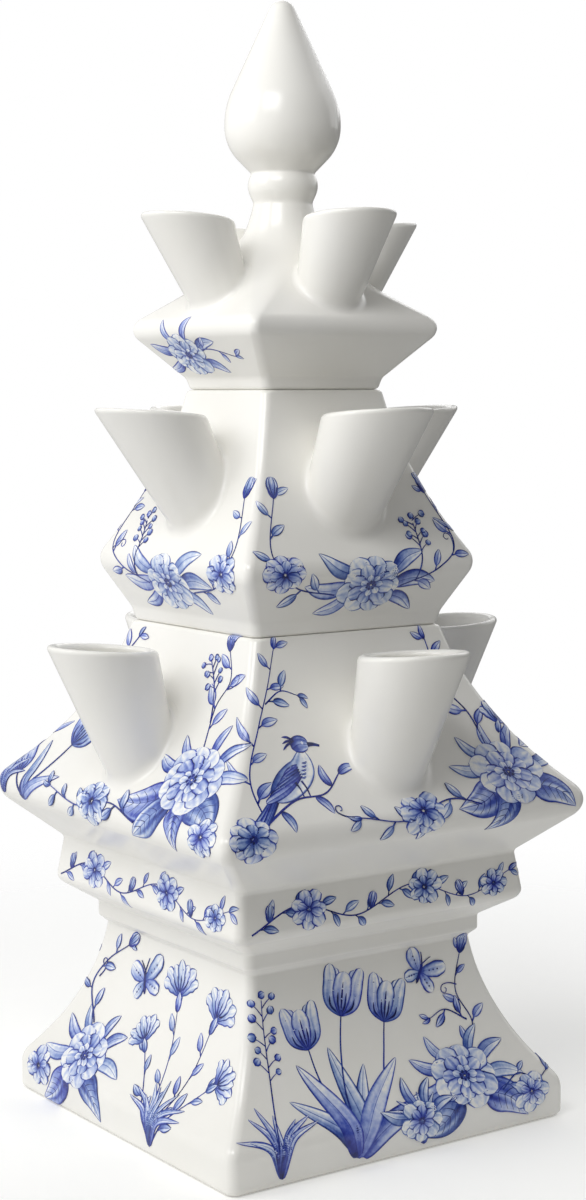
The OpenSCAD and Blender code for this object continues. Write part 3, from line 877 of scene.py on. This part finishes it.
def leafSprayTree():
    tree, given, lean, full = newTree("leafSpray", {
        "Stem": "Geometry", "Spacing": "Float", "Bare": "Float", "Taper": "Float"})
    path = addNode(tree, "GeometryNodeMeshToCurve", {"Mesh": given["Stem"]})
    path = addNode(tree, "GeometryNodeTrimCurve", {0: path, 2: given["Bare"]})
    path = addNode(tree, "GeometryNodeResampleCurve", {
        "Curve": path, "Length": given["Spacing"]}, mode="LENGTH")
    run = addNode(tree, "GeometryNodeCurveToPoints", {"Curve": path}, mode="EVALUATED").outputs
    way = addNode(tree, "ShaderNodeSeparateXYZ", {"Vector": run["Tangent"]}).outputs
    forward = addNode(tree, "ShaderNodeMath", {0: way["Y"], 1: way["X"]}, operation="ARCTAN2")
    index = addNode(tree, "GeometryNodeInputIndex")
    other = addNode(tree, "ShaderNodeMath", {0: index, 1: 2.0}, operation="MODULO")
    side = addNode(tree, "ShaderNodeMath", {0: other, 1: 2.0, 2: -1.0}, operation="MULTIPLY_ADD")
    angle = addNode(tree, "ShaderNodeMath", {0: side, 1: lean, 2: forward}, operation="MULTIPLY_ADD")
    count = addNode(tree, "GeometryNodeAttributeDomainSize", {
        "Geometry": run["Points"]}, component="POINTCLOUD")
    share = addNode(tree, "ShaderNodeMath", {0: index, 1: count}, operation="DIVIDE")
    less = addNode(tree, "ShaderNodeMath", {0: share, 1: given["Taper"]}, operation="MULTIPLY")
    size = addNode(tree, "ShaderNodeMath", {0: full, 1: less}, operation="SUBTRACT")
    growOn(tree, run["Points"], given, angle, size)
    return tree


petalRing = petalRingTree()
leafSpray = leafSprayTree()


def strokeObject(flat, wash, tint, rise, faces):
    mesh = bpy.data.meshes.new("strokeShape")
    mesh.from_pydata(np.column_stack([flat, np.zeros(len(flat))]).tolist(), [], faces)
    for label, values in (("wash", wash), ("tint", tint), ("rise", rise)):
        mesh.attributes.new(label, "FLOAT", "POINT").data.foreach_set("value", np.asarray(values, np.float32))
    return addObject("strokeShape", mesh)


def grow(panel, tree, sheet, turn, sway, sizes, values, stem=(), at=(0, 0), squash=(1.0, 1.0)):
    # runs a tree on one stroke and adds what it grows to the panel
    shape = strokeObject(*sheet)
    mesh = bpy.data.meshes.new("growth")
    mesh.from_pydata([(x, y, 0) for x, y in stem], [(k, k + 1) for k in range(len(stem) - 1)], [])
    host = addObject("growth", mesh)
    modifier = host.modifiers.new("growth", "NODES")
    modifier.node_group = tree
    seeds = {label: brush.randrange(1000) for label in seedNames}
    values = {
        **values, **seeds, "Stroke": shape, "Finish": cobalt,
        "Least Turn": turn - sway, "Most Turn": turn + sway, "Least Size": sizes[0], "Most Size": sizes[1]}
    for socket in tree.interface.items_tree:
        if socket.in_out == "INPUT" and socket.name in values:
            modifier[socket.identifier] = values[socket.name]
    graph = bpy.context.evaluated_depsgraph_get()
    grown = bpy.data.meshes.new_from_object(host.evaluated_get(graph))
    flat = readAll(grown.vertices, "co", width=3)[:, :2] * np.array(squash) + at
    labels = ("wash", "tint", "rise", "order", "depth")
    wash, tint, rise, order, depth = (readAll(grown.attributes[label].data, "value") for label in labels)
    addSheet(panel, flat, np.clip(wash + depth, *paintMake["limits"]), tint, rise,
             [list(face.vertices) for face in grown.polygons], np.rint(order).astype(int))
    for thing in (host, shape):
        bpy.data.objects.remove(thing)
    for thing in (mesh, grown):
        bpy.data.meshes.remove(thing)


# Motifs, drawn at a spot on the panel from strokes sketched at unit size. A turn of 0 points along the face
# and 90 up it.
stemWidth = {
    "thick": 1.2, "tulip": 1.1, "twig": 0.8, "spray": 0.65,
    "berry": 0.6, "curl": 0.45, "stalk": 0.4, "hair": 0.35,
}


def brushAt(panel, at, turn, size):
    def put(spine, width, shape, tone, ruffle=0.0):
        stroke(panel, moved(spine, at, turn, size), width * size, shape, tone, ruffle)

    return put


def leaf(panel, at, turn, length, tone="leaf", plump=0.4):
    spine = [(0, 0), (0.5 * length, 0.1 * length), (length, 0)]
    stroke(panel, moved(spine, at, turn), plump * length, "leaf", tone)


def dot(panel, at, radius, tone="ink"):
    spine = moved([(-radius, 0), (0, 0), (radius, 0)], at, brush.uniform(0, 180))
    stroke(panel, spine, 2 * radius, "round", tone)


def spray(panel, points, leafLength, spacing=None, bare=0.12, angle=0.85, taper=0.4):
    line = smoothLine(points, 1.0)
    stroke(panel, points, stemWidth["spray"], "stem", "stem")
    spine = np.array([(0, 0), (0.55, 0.07), (1.2, 0)]) * leafLength
    sheet = strokeSheet(spine, 0.46 * leafLength, "stalked", "leaf")
    grow(panel, leafSpray, sheet, angle, 0.2, (0.85, 1.12),
         {"Spacing": spacing or leafLength, "Bare": bare, "Taper": taper}, line)
    leaf(panel, line[-1], heading(line), leafLength * (1 - taper))
    return line


def tendril(panel, at, turn, size, way=1):
    # a fine curl at the end of a stem
    curl = [(0, 0), (0.5, 0.1), (0.92, 0.38), (0.9, 0.72), (0.62, 0.76), (0.56, 0.52), (0.7, 0.46)]
    stroke(panel, moved(np.array(curl) * (1, way), at, turn, size), stemWidth["curl"], "stem", "stem")


def rosette(panel, at, leaves, clear):
    # leaves spread from behind a flower, as (turn, length)
    for turn, length in leaves:
        leaf(panel, ahead(at, turn, clear), turn, length, brush.choice(("leaf", "paleLeaf")), 0.34)


def flower(panel, at, radius, petals, rows=3, squash=0.85):
    for row in range(rows):
        reach = radius * (1 - 0.31 * row)
        sheet = strokeSheet(np.array([(0.08, 0), (0.5, 0.03), (1, 0)]) * reach, 0.72 * reach, "petal",
                            "deepPetal" if row % 2 else "petal", 0.07)
        grow(panel, petalRing, sheet, 0.5 * row, 0.14, (0.91, 1.09),
             {"Petals": petals - row, "Step": math.tau / (petals - row)}, (), at, (1.0, squash))
    for k in range(7):
        a = math.tau * k / 7
        dot(panel, np.add(at, 0.13 * radius * np.array((math.cos(a), squash * math.sin(a)))), 0.05 * radius)


def tulip(panel, at, turn, size):
    put = brushAt(panel, at, turn, size)
    for side in (1, -1):
        put([(0, 0), (0.5, 0.2 * side), (1.0, 0.26 * side)], 0.34, "petal", "deepPetal", 0.03)
    for side in (1, -1):
        put([(0, 0.02 * side), (0.3, 0.3 * side), (0.7, 0.34 * side), (1.06, 0.42 * side)], 0.36,
            "petal", "petal", 0.03)
    put([(0, 0), (0.45, 0.01), (0.94, 0)], 0.5, "petal", "petal", 0.03)
    for rise, aside in ((0.72, 0.0), (0.5, 0.09), (0.5, -0.09), (0.4, 0.27), (0.4, -0.27)):
        put([(0.06, 0.3 * aside), (0.5 * rise, aside), (rise, 1.2 * aside)], 0.05, "touch", "ink")


def tulipPlant(panel, root, head, size, leaves=(1, -1)):
    # a tulip on a bent stem, with long leaves from its root
    up = head - root
    side = np.array((-up[1], up[0])) * brush.uniform(0.05, 0.1) * brush.choice((-1, 1))
    line = [root, root + 0.4 * up + side, root + 0.75 * up + 0.6 * side, head]
    stroke(panel, line, stemWidth["tulip"], "stem", "stem")
    for way in leaves:
        aside = np.array((up[1], -up[0])) * way
        tall = brush.uniform(0.55, 0.8)
        tip = root + tall * up + 0.42 * aside
        fold = root + 0.45 * tall * up + 0.13 * aside
        tone = brush.choice(("leaf", "paleLeaf"))
        stroke(panel, [root, fold, tip], 0.17 * np.linalg.norm(up), "blade", tone)
    tulip(panel, head, heading(line), size)


def carnation(panel, at, turn, size):
    put = brushAt(panel, at, turn, size)
    for k in (0, 6, 1, 5, 2, 4, 3):
        a = math.radians(-66 + 22 * k)
        tip = np.array((math.cos(a), math.sin(a)))
        put([(0, 0), 0.5 * tip + (0.08, 0), tip * (0.86 + 0.08 * (k % 2))], 0.36, "petal", "petal", 0.16)
    for k in range(5):
        a = math.radians(-40 + 20 * k)
        ray = [(0.1, 0), *((reach * math.cos(a), reach * math.sin(a)) for reach in (0.3, 0.55))]
        put(ray, 0.05, "touch", "ink")
    put([(-0.42, 0), (-0.15, 0), (0.1, 0)], 0.26, "body", "leaf")


def bud(panel, at, turn, size):
    put = brushAt(panel, at, turn, size)
    for aside, tone in ((0.16, "petal"), (-0.16, "petal"), (0.0, "deepPetal")):
        put([(0, 0), (0.5, aside), (1, 0.3 * aside)], 0.36, "petal", tone)
    for aside in (0.2, -0.2):
        put([(-0.1, 0), (0.2, aside), (0.5, 1.2 * aside)], 0.14, "leaf", "stem")


def berries(panel, root, head, count, radius):
    line = smoothLine([root, np.add(root, np.subtract(head, root) * 0.5) + (1.5, 0), head], 1.0)
    stroke(panel, line[::4], stemWidth["berry"], "stem", "stem")
    for k in range(count):
        start = line[int(len(line) * (0.45 + 0.5 * k / count))]
        turn = heading(line) + (1 if k % 2 else -1) * brush.uniform(35, 65)
        tip = ahead(start, turn, brush.uniform(2.6, 4.2) * radius)
        stroke(panel, [start, (start + tip) / 2 + (0, 0.3), tip], stemWidth["stalk"], "stem", "stem")
        dot(panel, tip, radius * brush.uniform(0.8, 1.1), "deepPetal")
    dot(panel, line[-1], radius, "deepPetal")


def butterfly(panel, at, turn, size):
    put = brushAt(panel, at, turn, size)
    for side, tone in ((0.72, "paleLeaf"), (-1.0, "petal")):
        foreWing = [(0, 0.02), (0.3, 0.5 * side), (0.62, 0.95 * side)]
        hindWing = [(0, 0), (-0.22, 0.4 * side), (-0.42, 0.72 * side)]
        for spine, width in ((foreWing, 0.56), (hindWing, 0.44)):
            put(spine, width, "petal", tone, 0.05)
            for step in (0.7, 1.0, 1.3):
                dot(panel, moved([np.array(spine[1]) * step], at, turn, size)[0], 0.035 * size)
    put([(-0.4, 0), (0, 0), (0.34, 0)], 0.13, "body", "ink")
    for side in (0.2, -0.24):
        feeler = [(0.3, 0), (0.5, 0.5 * side), (0.66, side)]
        stroke(panel, moved(feeler, at, turn, size), stemWidth["hair"], "stem", "ink")


def bird(panel, at, turn, size):
    # a perched songbird: tail, body, wing, head with bill, crest and eye, feet at the spot, then its breast
    put = brushAt(panel, at, turn, size)
    for drop in (0.0, 0.1, 0.2):
        put([(-0.3, 0.16), (-0.72, -0.1 - 0.5 * drop), (-1.15, -0.34 - drop)], 0.1, "blade", "feather")
    put([(-0.46, 0.06), (-0.12, 0.22), (0.2, 0.4), (0.34, 0.66)], 0.44, "body", "down")
    for k in range(6):
        reach = 0.3 + 0.09 * k
        quill = [(0.16, 0.48 - 0.035 * k), (0.16 - 0.5 * reach, 0.4 - 0.05 * k),
                 (0.16 - reach, 0.3 - 0.05 * k)]
        put(quill, 0.13, "petal", "feather")
    put([(0.2, 0.7), (0.34, 0.74), (0.48, 0.7)], 0.26, "round", "feather")
    put([(0.46, 0.71), (0.54, 0.7), (0.64, 0.66)], 0.07, "stem", "ink")
    for k in range(3):
        plume = [(0.28, 0.8), (0.2 - 0.02 * k, 0.87 - 0.05 * k), (0.12 - 0.03 * k, 0.89 - 0.09 * k)]
        put(plume, 0.035, "touch", "ink")
    put([(0.37, 0.75), (0.39, 0.75), (0.41, 0.75)], 0.045, "round", "wash")
    for foot in (0.0, 0.1):
        put([(foot, 0.24), (foot + 0.02, 0.12), (foot + 0.01, 0)], 0.035, "stem", "ink")
    for k in range(5):
        x, y = 0.03 * k, 0.05 * k
        put([(0.12 + x, 0.28 + y), (0.17 + x, 0.27 + y), (0.21 + x, 0.29 + y)], 0.03, "touch", "leaf")


def broadLeaf(panel, at, turn, length, plump=0.56, bend=0.1):
    spine = moved([(0, 0), (0.5, bend), (1, 0)], at, turn, length)
    stroke(panel, spine, plump * length, "broad", "broadLeaf")
    for root in (0.12, 0.25, 0.38, 0.51, 0.64):
        tip = root + 0.17
        reach = 0.38 * plump * strokeShapes["broad"](tip) / widest("broad")
        for side in (1, -1):
            vein = [(x, bend * math.sin(math.pi * x) + side * reach * out)
                    for x, out in ((root, 0), (root + 0.07, 0.55), (tip, 1))]
            stroke(panel, moved(vein, at, turn, length), stemWidth["hair"], "stem", "ink")


def broadLeaves(panel, at, leaves, clear):
    for turn, length in leaves:
        broadLeaf(panel, ahead(at, turn, clear), turn, length)


def swordTuft(panel, at, height, count, spread=0.8):
    for k in range(count):
        lean = spread * (2 * k / (count - 1) - 1) + brush.uniform(-0.08, 0.08)
        tall = height * brush.uniform(0.7, 1.05) * (1 - 0.25 * abs(lean))
        spine = [(0, 0), (0.28 * lean * tall, 0.55 * tall), (lean * tall, tall * (1 - 0.3 * abs(lean)))]
        stroke(panel, moved(spine, at), 0.11 * height, "blade", brush.choice(("leaf", "paleLeaf", "leaf")))


# Compositions, one for each stretch of a face. at and path turn places, as (across, height) in millimetres,
# into a spot and a line of spots on the unrolled face.

def placing(tier, way):
    def at(across, z):
        return np.array((way * across, runAt(tier, z)))

    def path(*places):
        return [at(across, z) for across, z in places]

    return at, path


def paintFootMeadow(panel, at, path):
    root = at(-20, 4)
    for across, z, size in ((-32.5, 42, 16.5), (4, 46, 17), (-15, 51, 18)):
        tulipPlant(panel, root + (brush.uniform(-3, 3), 0), at(across, z), size)
    swordTuft(panel, at(-57, 3), 30, 8)
    berries(panel, at(-58, 14), at(-49, 64), 11, 1.6)
    stem = spray(panel, path((30, 22), (45, 38), (41, 52), (46, 66)), 8.5)
    bud(panel, stem[-1], 70, 8)
    spray(panel, path((43, 41), (34, 46), (26, 44)), 7.5)
    tendril(panel, at(42, 54), 150, 7)
    broadLeaves(panel, at(33, 20), ((-32, 25), (212, 23)), 7)
    rosette(panel, at(33, 23), ((188, 19), (155, 16), (-8, 19), (25, 17), (55, 14), (125, 13)), 9)
    flower(panel, at(33, 23), 15, 9)
    spray(panel, path((48, 16), (58, 20), (66, 17), (72, 19)), 7)
    flower(panel, at(62, 13), 9, 7, 2)
    butterfly(panel, at(25, 61), 60, 11.5)
    swordTuft(panel, at(8, 3), 26, 9)
    rosette(panel, at(7, 12), ((160, 14), (100, 13), (60, 13), (20, 13)), 5)
    flower(panel, at(7, 12), 9.5, 8, 2)


def paintFootGarden(panel, at, path):
    root = at(24, 4)
    for across, z, turn, size in ((11, 50, 100, 15), (36, 47, 75, 14), (47, 29, 40, 12), (1, 32, 130, 12)):
        top = at(across, z)
        line = [root, root + 0.5 * (top - root) + (brush.uniform(-4, 4), 2), top]
        spray(panel, line, 8.5, 9, 0.25, 0.5, 0.3)
        carnation(panel, ahead(top, turn, 5), turn, size)
    swordTuft(panel, root, 28, 10, 0.85)
    broadLeaves(panel, at(-35, 20), ((-38, 22), (222, 24)), 7)
    rosette(panel, at(-35, 23), ((185, 20), (150, 17), (-6, 19), (32, 16), (60, 14), (120, 14)), 9)
    flower(panel, at(-35, 23), 15.5, 9)
    flower(panel, at(-62, 13), 9.5, 7, 2)
    stem = spray(panel, path((-40, 34), (-51, 46), (-45, 57), (-31, 66)), 8.5)
    bud(panel, stem[-1], 40, 8)
    tendril(panel, at(-48, 50), 40, 7)
    butterfly(panel, at(-15, 55), 110, 13)


def paintLedge(panel, at, path):
    garland = path((-62, 91), (-40, 99), (-15, 92), (12, 100), (38, 92), (60, 99))
    spray(panel, garland, 7, 5.5, 0.03, 0.8, 0.2)
    for across, z, radius in ((-36, 97, 8.5), (18, 98, 8), (52, 95, 6.5)):
        flower(panel, at(across, z), radius, 7, 2)
    for across, z, turn in ((-8, 94, 70), (36, 93, 110), (-54, 95, 80)):
        bud(panel, at(across, z), turn, 6)


def paintRoofBranch(panel, at, path):
    perch = path((-78, 126), (-64, 134), (-48, 140), (-34, 141), (-24, 147))
    stroke(panel, perch, stemWidth["thick"], "stem", "stem")
    twig = smoothLine(perch, 1.0)
    for share, turn in ((0.2, 140), (0.42, -75), (0.7, -60), (0.86, 100), (0.97, 15)):
        leaf(panel, twig[int(share * len(twig))], turn, 9.5)
    spray(panel, path((-64, 134), (-63, 148), (-52, 164), (-43, 178), (-37, 191)), 10, 7.5)
    spray(panel, path((-46, 172), (-38, 176), (-31, 174)), 8, 6)
    bird(panel, at(-44, 140.5), 6, 28)
    flower(panel, at(-72, 130), 10.5, 8, 2)
    broadLeaves(panel, at(52, 138), ((198, 26), (232, 20), (-30, 24)), 7)
    rosette(panel, at(52, 140), ((168, 17), (135, 15), (5, 17), (62, 14), (100, 13)), 10)
    stem = spray(panel, path((48, 142), (46, 160), (38, 172), (34, 190)), 10, 7.5, 0.3)
    tendril(panel, stem[3 * len(stem) // 4], 10, 7)
    stroke(panel, path((54, 144), (58, 151), (58, 155)), stemWidth["twig"], "stem", "stem")
    carnation(panel, at(58, 157), 70, 11)
    flower(panel, at(52, 140), 16.5, 9)
    spray(panel, path((32, 131), (18, 134), (-4, 129), (-24, 132)), 9.5, 7)
    flower(panel, at(4, 131.5), 10.5, 8, 2)
    tendril(panel, at(-27, 132.5), 175, 7, -1)


def paintRoofGarden(panel, at, path):
    broadLeaves(panel, at(43, 141), ((196, 31), (226, 25), (-24, 28), (-72, 19)), 6)
    rosette(panel, at(43, 145), ((8, 18), (42, 16), (165, 17), (75, 14), (138, 14)), 11)
    stem = spray(panel, path((42, 148), (34, 168), (37, 179), (31, 190)), 10, 7.5, 0.35)
    bud(panel, stem[-1], 100, 8)
    tendril(panel, stem[2 * len(stem) // 3], 10, 7)
    flower(panel, at(43, 145), 18, 10)
    flower(panel, at(69, 130), 9.5, 7, 2)
    berries(panel, at(35, 164), at(20, 186), 8, 1.5)
    tulipPlant(panel, at(-63, 124), at(-47, 146), 19)
    tulipPlant(panel, at(-61, 124), at(-70, 133), 15, (1,))
    spray(panel, path((-49, 162), (-41, 171), (-41, 180), (-34, 189)), 9, 7)
    butterfly(panel, at(-32, 168), 120, 11)
    swordTuft(panel, at(-78, 124), 24, 8)
    spray(panel, path((24, 128), (4, 132), (-18, 128), (-42, 132)), 9.5, 7)
    flower(panel, at(-8, 131), 11, 8, 2)


def paintMiddle(panel, at, path):
    heart = at(4, 213)
    rosette(panel, heart, ((178, 22), (150, 19), (205, 17), (0, 22), (28, 19), (-28, 17)), 9)
    flower(panel, heart, 14.5, 9)
    branch = spray(panel, path((18, 212), (35, 218), (45, 228), (38, 247)), 9)
    bud(panel, branch[-1], 95, 8)
    tendril(panel, branch[len(branch) // 2], 60, 7, panel["way"])
    branch = spray(panel, path((-12, 210), (-31, 214), (-41, 226), (-33, 247)), 9)
    bud(panel, branch[-1], 85, 8)
    flower(panel, at(-37, 219), 9.5, 8, 2)
    berries(panel, at(25, 214), at(28, 238), 9, 1.5)


def paintTop(panel, at, path):
    heart = at(-11, 300)
    rosette(panel, heart, ((165, 15), (200, 14), (15, 16), (-25, 14), (60, 12), (120, 11)), 8)
    spray(panel, path((-11, 300), (5, 302), (20, 299)), 7.5)
    flower(panel, heart, 12.5, 9)


def clearOfSpout(tier, panel, flat, layer):
    # leaves out the strokes that a spout's bore would cut
    centre, reach = tier["root"]
    inside = (((flat - centre) / reach) ** 2).sum(1) < 1
    sheet = np.repeat(np.arange(len(panel["flat"])), [len(f) for f in panel["flat"]])
    key = sheet * (layer.max() + 1) + layer
    return ~np.isin(key, key[inside])


def layPanel(tier, face, panel, mirrored):
    flat, wash, tint, rise, layer = (np.concatenate(panel[part]) for part in sheetParts)
    kept = clearOfSpout(tier, panel, flat, layer)
    coats = paintMake["coat"] * (layer + 0.5 * (face % 2))
    lift = np.where(rise > 0.5, paintMake["lift"] + coats, -paintMake["sunk"])
    across = -flat[:, 0] if mirrored else flat[:, 0]
    points, normals = onFace(tier, face, across, flat[:, 1], lift)
    number = np.cumsum(kept) - 1
    faces = [[number[v] for v in (reversed(f) if mirrored else f)] for f in panel["faces"] if kept[f[0]]]
    name = tier["body"] + "_painting_" + faceNames[face]
    piece = newPiece(name, points[kept], faces, cobalt)
    mesh = piece.data
    loops = readAll(mesh.loops, "vertex_index", np.int32)
    places = np.stack([wash[kept][loops], tint[kept][loops]], 1)
    mesh.uv_layers.new(name=cobaltLook["map"]).uv.foreach_set("vector", places.astype(np.float32).ravel())
    # the upper side shines as the glaze under it does
    count = readAll(mesh.polygons, "loop_total", np.int32)
    onTop = np.minimum.reduceat(rise[kept][loops], readAll(mesh.polygons, "loop_start", np.int32)) > 0.5
    flatNormals = readAll(mesh.polygons, "normal", width=3)
    own = np.where(np.repeat(onTop, count)[:, None], normals[kept][loops], np.repeat(flatNormals, count, 0))
    mesh.normals_split_custom_set(own.tolist())
    finish(piece, tier["body"], "blue_decoration")
    print(name, "painted:", len(mesh.polygons), "faces in", layer.max() + 1, "coats")


def paintFace(tier, face, painters, way=1, mirrored=False):
    panel = newPanel(way)
    for paint in painters:
        paint(panel, *placing(tier, way))
        panel["next"] = 0  # the stretches of a face lie apart, so each starts from the glaze
    layPanel(tier, face, panel, mirrored)


baseFront = (paintFootMeadow, paintLedge, paintRoofBranch)
baseSide = (paintFootGarden, paintLedge, paintRoofGarden)
for face, mirrored in enumerate((False, True, True, False)):
    paintFace(baseTier, face, baseSide if face % 2 else baseFront, 1, mirrored)
for face, way in enumerate((1, -1, 1, -1)):
    paintFace(middleTier, face, (paintMiddle,), way)
for face, way in ((1, -1), (3, 1)):
    paintFace(topTier, face, (paintTop,), way)

# Camera: its turn about the vase, its place in millimetres, and how far it looks down and leans, in degrees
view = {
    "turn": -35.081, "away": 865.8, "height": 287.8, "aside": 3.48,
    "down": 5.558, "roll": 0.18, "lens": 65.87,
}


def makeCamera():
    turn, down = math.radians(view["turn"]), math.radians(view["down"])
    right = Vector((math.cos(turn), math.sin(turn), 0))
    back = Vector((math.sin(turn), -math.cos(turn), 0))
    camera = addObject("camera", bpy.data.cameras.new("camera"))
    camera.data.lens = view["lens"]
    camera.data.sensor_width = 36
    camera.location = (back * view["away"] + right * view["aside"] + Vector((0, 0, view["height"]))) * mm
    forward = -back * math.cos(down) - Vector((0, 0, math.sin(down)))
    level = forward.to_track_quat("-Z", "Y")
    camera.rotation_euler = (level @ Quaternion((0, 0, 1), math.radians(-view["roll"]))).to_euler()
    bpy.context.scene.camera = camera


def onStage(right, back, up):
    # a place or a way as the camera sees it, in metres
    turn = math.radians(view["turn"])
    c, s = math.cos(turn), math.sin(turn)
    return right * c - back * s, right * s + back * c, up


# Stage: a round light table that fades out into the white surround, so every side of the vase has the same
# ground. It looks a little brighter than the light it gives the vase.
stageMake = {
    "reach": 0.55,
    "solid": 0.13,
    "around": 64,
    "colour": "#f0f0ee",
    "roughness": 0.9,
    "glow": 0.1,
    "seenGlow": 0.22,
}
white = (1, 1, 1, 1)


def makeStage():
    make = stageMake
    material, tree, shader = newMaterial("opalAcrylicTable")
    seen = addNode(tree, "ShaderNodeLightPath").outputs["Is Camera Ray"]
    glow = addNode(tree, "ShaderNodeMapRange", {
        "Value": seen, "To Min": make["glow"], "To Max": make["seenGlow"]})
    setInputs(tree, shader, {"Base Color": linear(make["colour"]), "Roughness": make["roughness"],
                             "Emission Color": white, "Emission Strength": glow})
    place = addNode(tree, "ShaderNodeTexCoord").outputs["Object"]
    away = addNode(tree, "ShaderNodeVectorMath", {0: place}, operation="LENGTH")
    fade = addNode(tree, "ShaderNodeMapRange", {
        "Value": away, "From Min": make["solid"], "From Max": make["reach"]}, interpolation_type="SMOOTHSTEP")
    clear = addNode(tree, "ShaderNodeBsdfTransparent")
    both = addNode(tree, "ShaderNodeMixShader", {0: fade, 1: shader, 2: clear})
    setInputs(tree, tree.nodes["Material Output"], {"Surface": both})
    n, reach = make["around"], make["reach"] / mm
    rim = [(reach * math.cos(math.tau * k / n), reach * math.sin(math.tau * k / n), 0) for k in range(n)]
    newPiece("stage", rim, [list(range(n))], material)


# Lamps: softboxes right of, behind and above the middle of the foot, in metres, each aimed at a share of
# the vase's height
lamps = {
    "keyLamp": {"place": (-0.75, -0.3, 0.75), "aim": 0.82, "size": (0.4, 0.5), "watts": 2.0},
    "frontLamp": {"place": (-0.2, -0.5, 0.72), "aim": 0.82, "size": (0.35, 0.25), "watts": 1.8},
    "sideLamp": {"place": (1.3, 0.9, 1.0), "aim": 0.5, "size": (1.0, 1.2), "watts": 4.5},
    "backLamp": {"place": (0.4, 1.5, 1.1), "aim": 0.5, "size": (1.4, 1.0), "watts": 7.0},
}


def makeLamp(name, make):
    lamp = addObject(name, bpy.data.lights.new(name, "AREA"))
    lamp.data.shape = "RECTANGLE"
    lamp.data.size, lamp.data.size_y = make["size"]
    lamp.data.energy = make["watts"]
    lamp.visible_camera = False  # the softboxes stand close, and would come into the picture from other sides
    lamp.location = onStage(*make["place"])
    aim = Vector((0, 0, make["aim"] * vaseTop * mm))
    lamp.rotation_euler = (aim - lamp.location).to_track_quat("-Z", "Y").to_euler()


# The surround lights the vase as a white room with its window on the left does, and is plain white to the eye
surround = {"window": 0.77, "room": 0.185, "edge": -0.3, "seen": 1.0}


def makeSurround():
    make = surround
    world = bpy.data.worlds.new("studio")
    bpy.context.scene.world = world
    world.use_nodes = True
    tree = world.node_tree
    direction = addNode(tree, "ShaderNodeTexCoord").outputs["Generated"]
    toWindow = addNode(tree, "ShaderNodeVectorMath", {
        0: direction, 1: onStage(-1, 0, 0)}, operation="DOT_PRODUCT")
    roomLight = addNode(tree, "ShaderNodeMapRange", {
        "Value": toWindow, "From Min": make["edge"],
        "To Min": make["room"], "To Max": make["room"] + make["window"]})
    seen = addNode(tree, "ShaderNodeLightPath").outputs["Is Camera Ray"]
    strength = addNode(tree, "ShaderNodeMapRange", {
        "Value": seen, "To Min": roomLight, "To Max": make["seen"]})
    setInputs(tree, tree.nodes["Background"], {"Color": white, "Strength": strength})
    bpy.context.scene.view_settings.view_transform = "Standard"


makeCamera()
makeStage()
for name, make in lamps.items():
    makeLamp(name, make)
makeSurround()
print("stage, lamps and camera made")
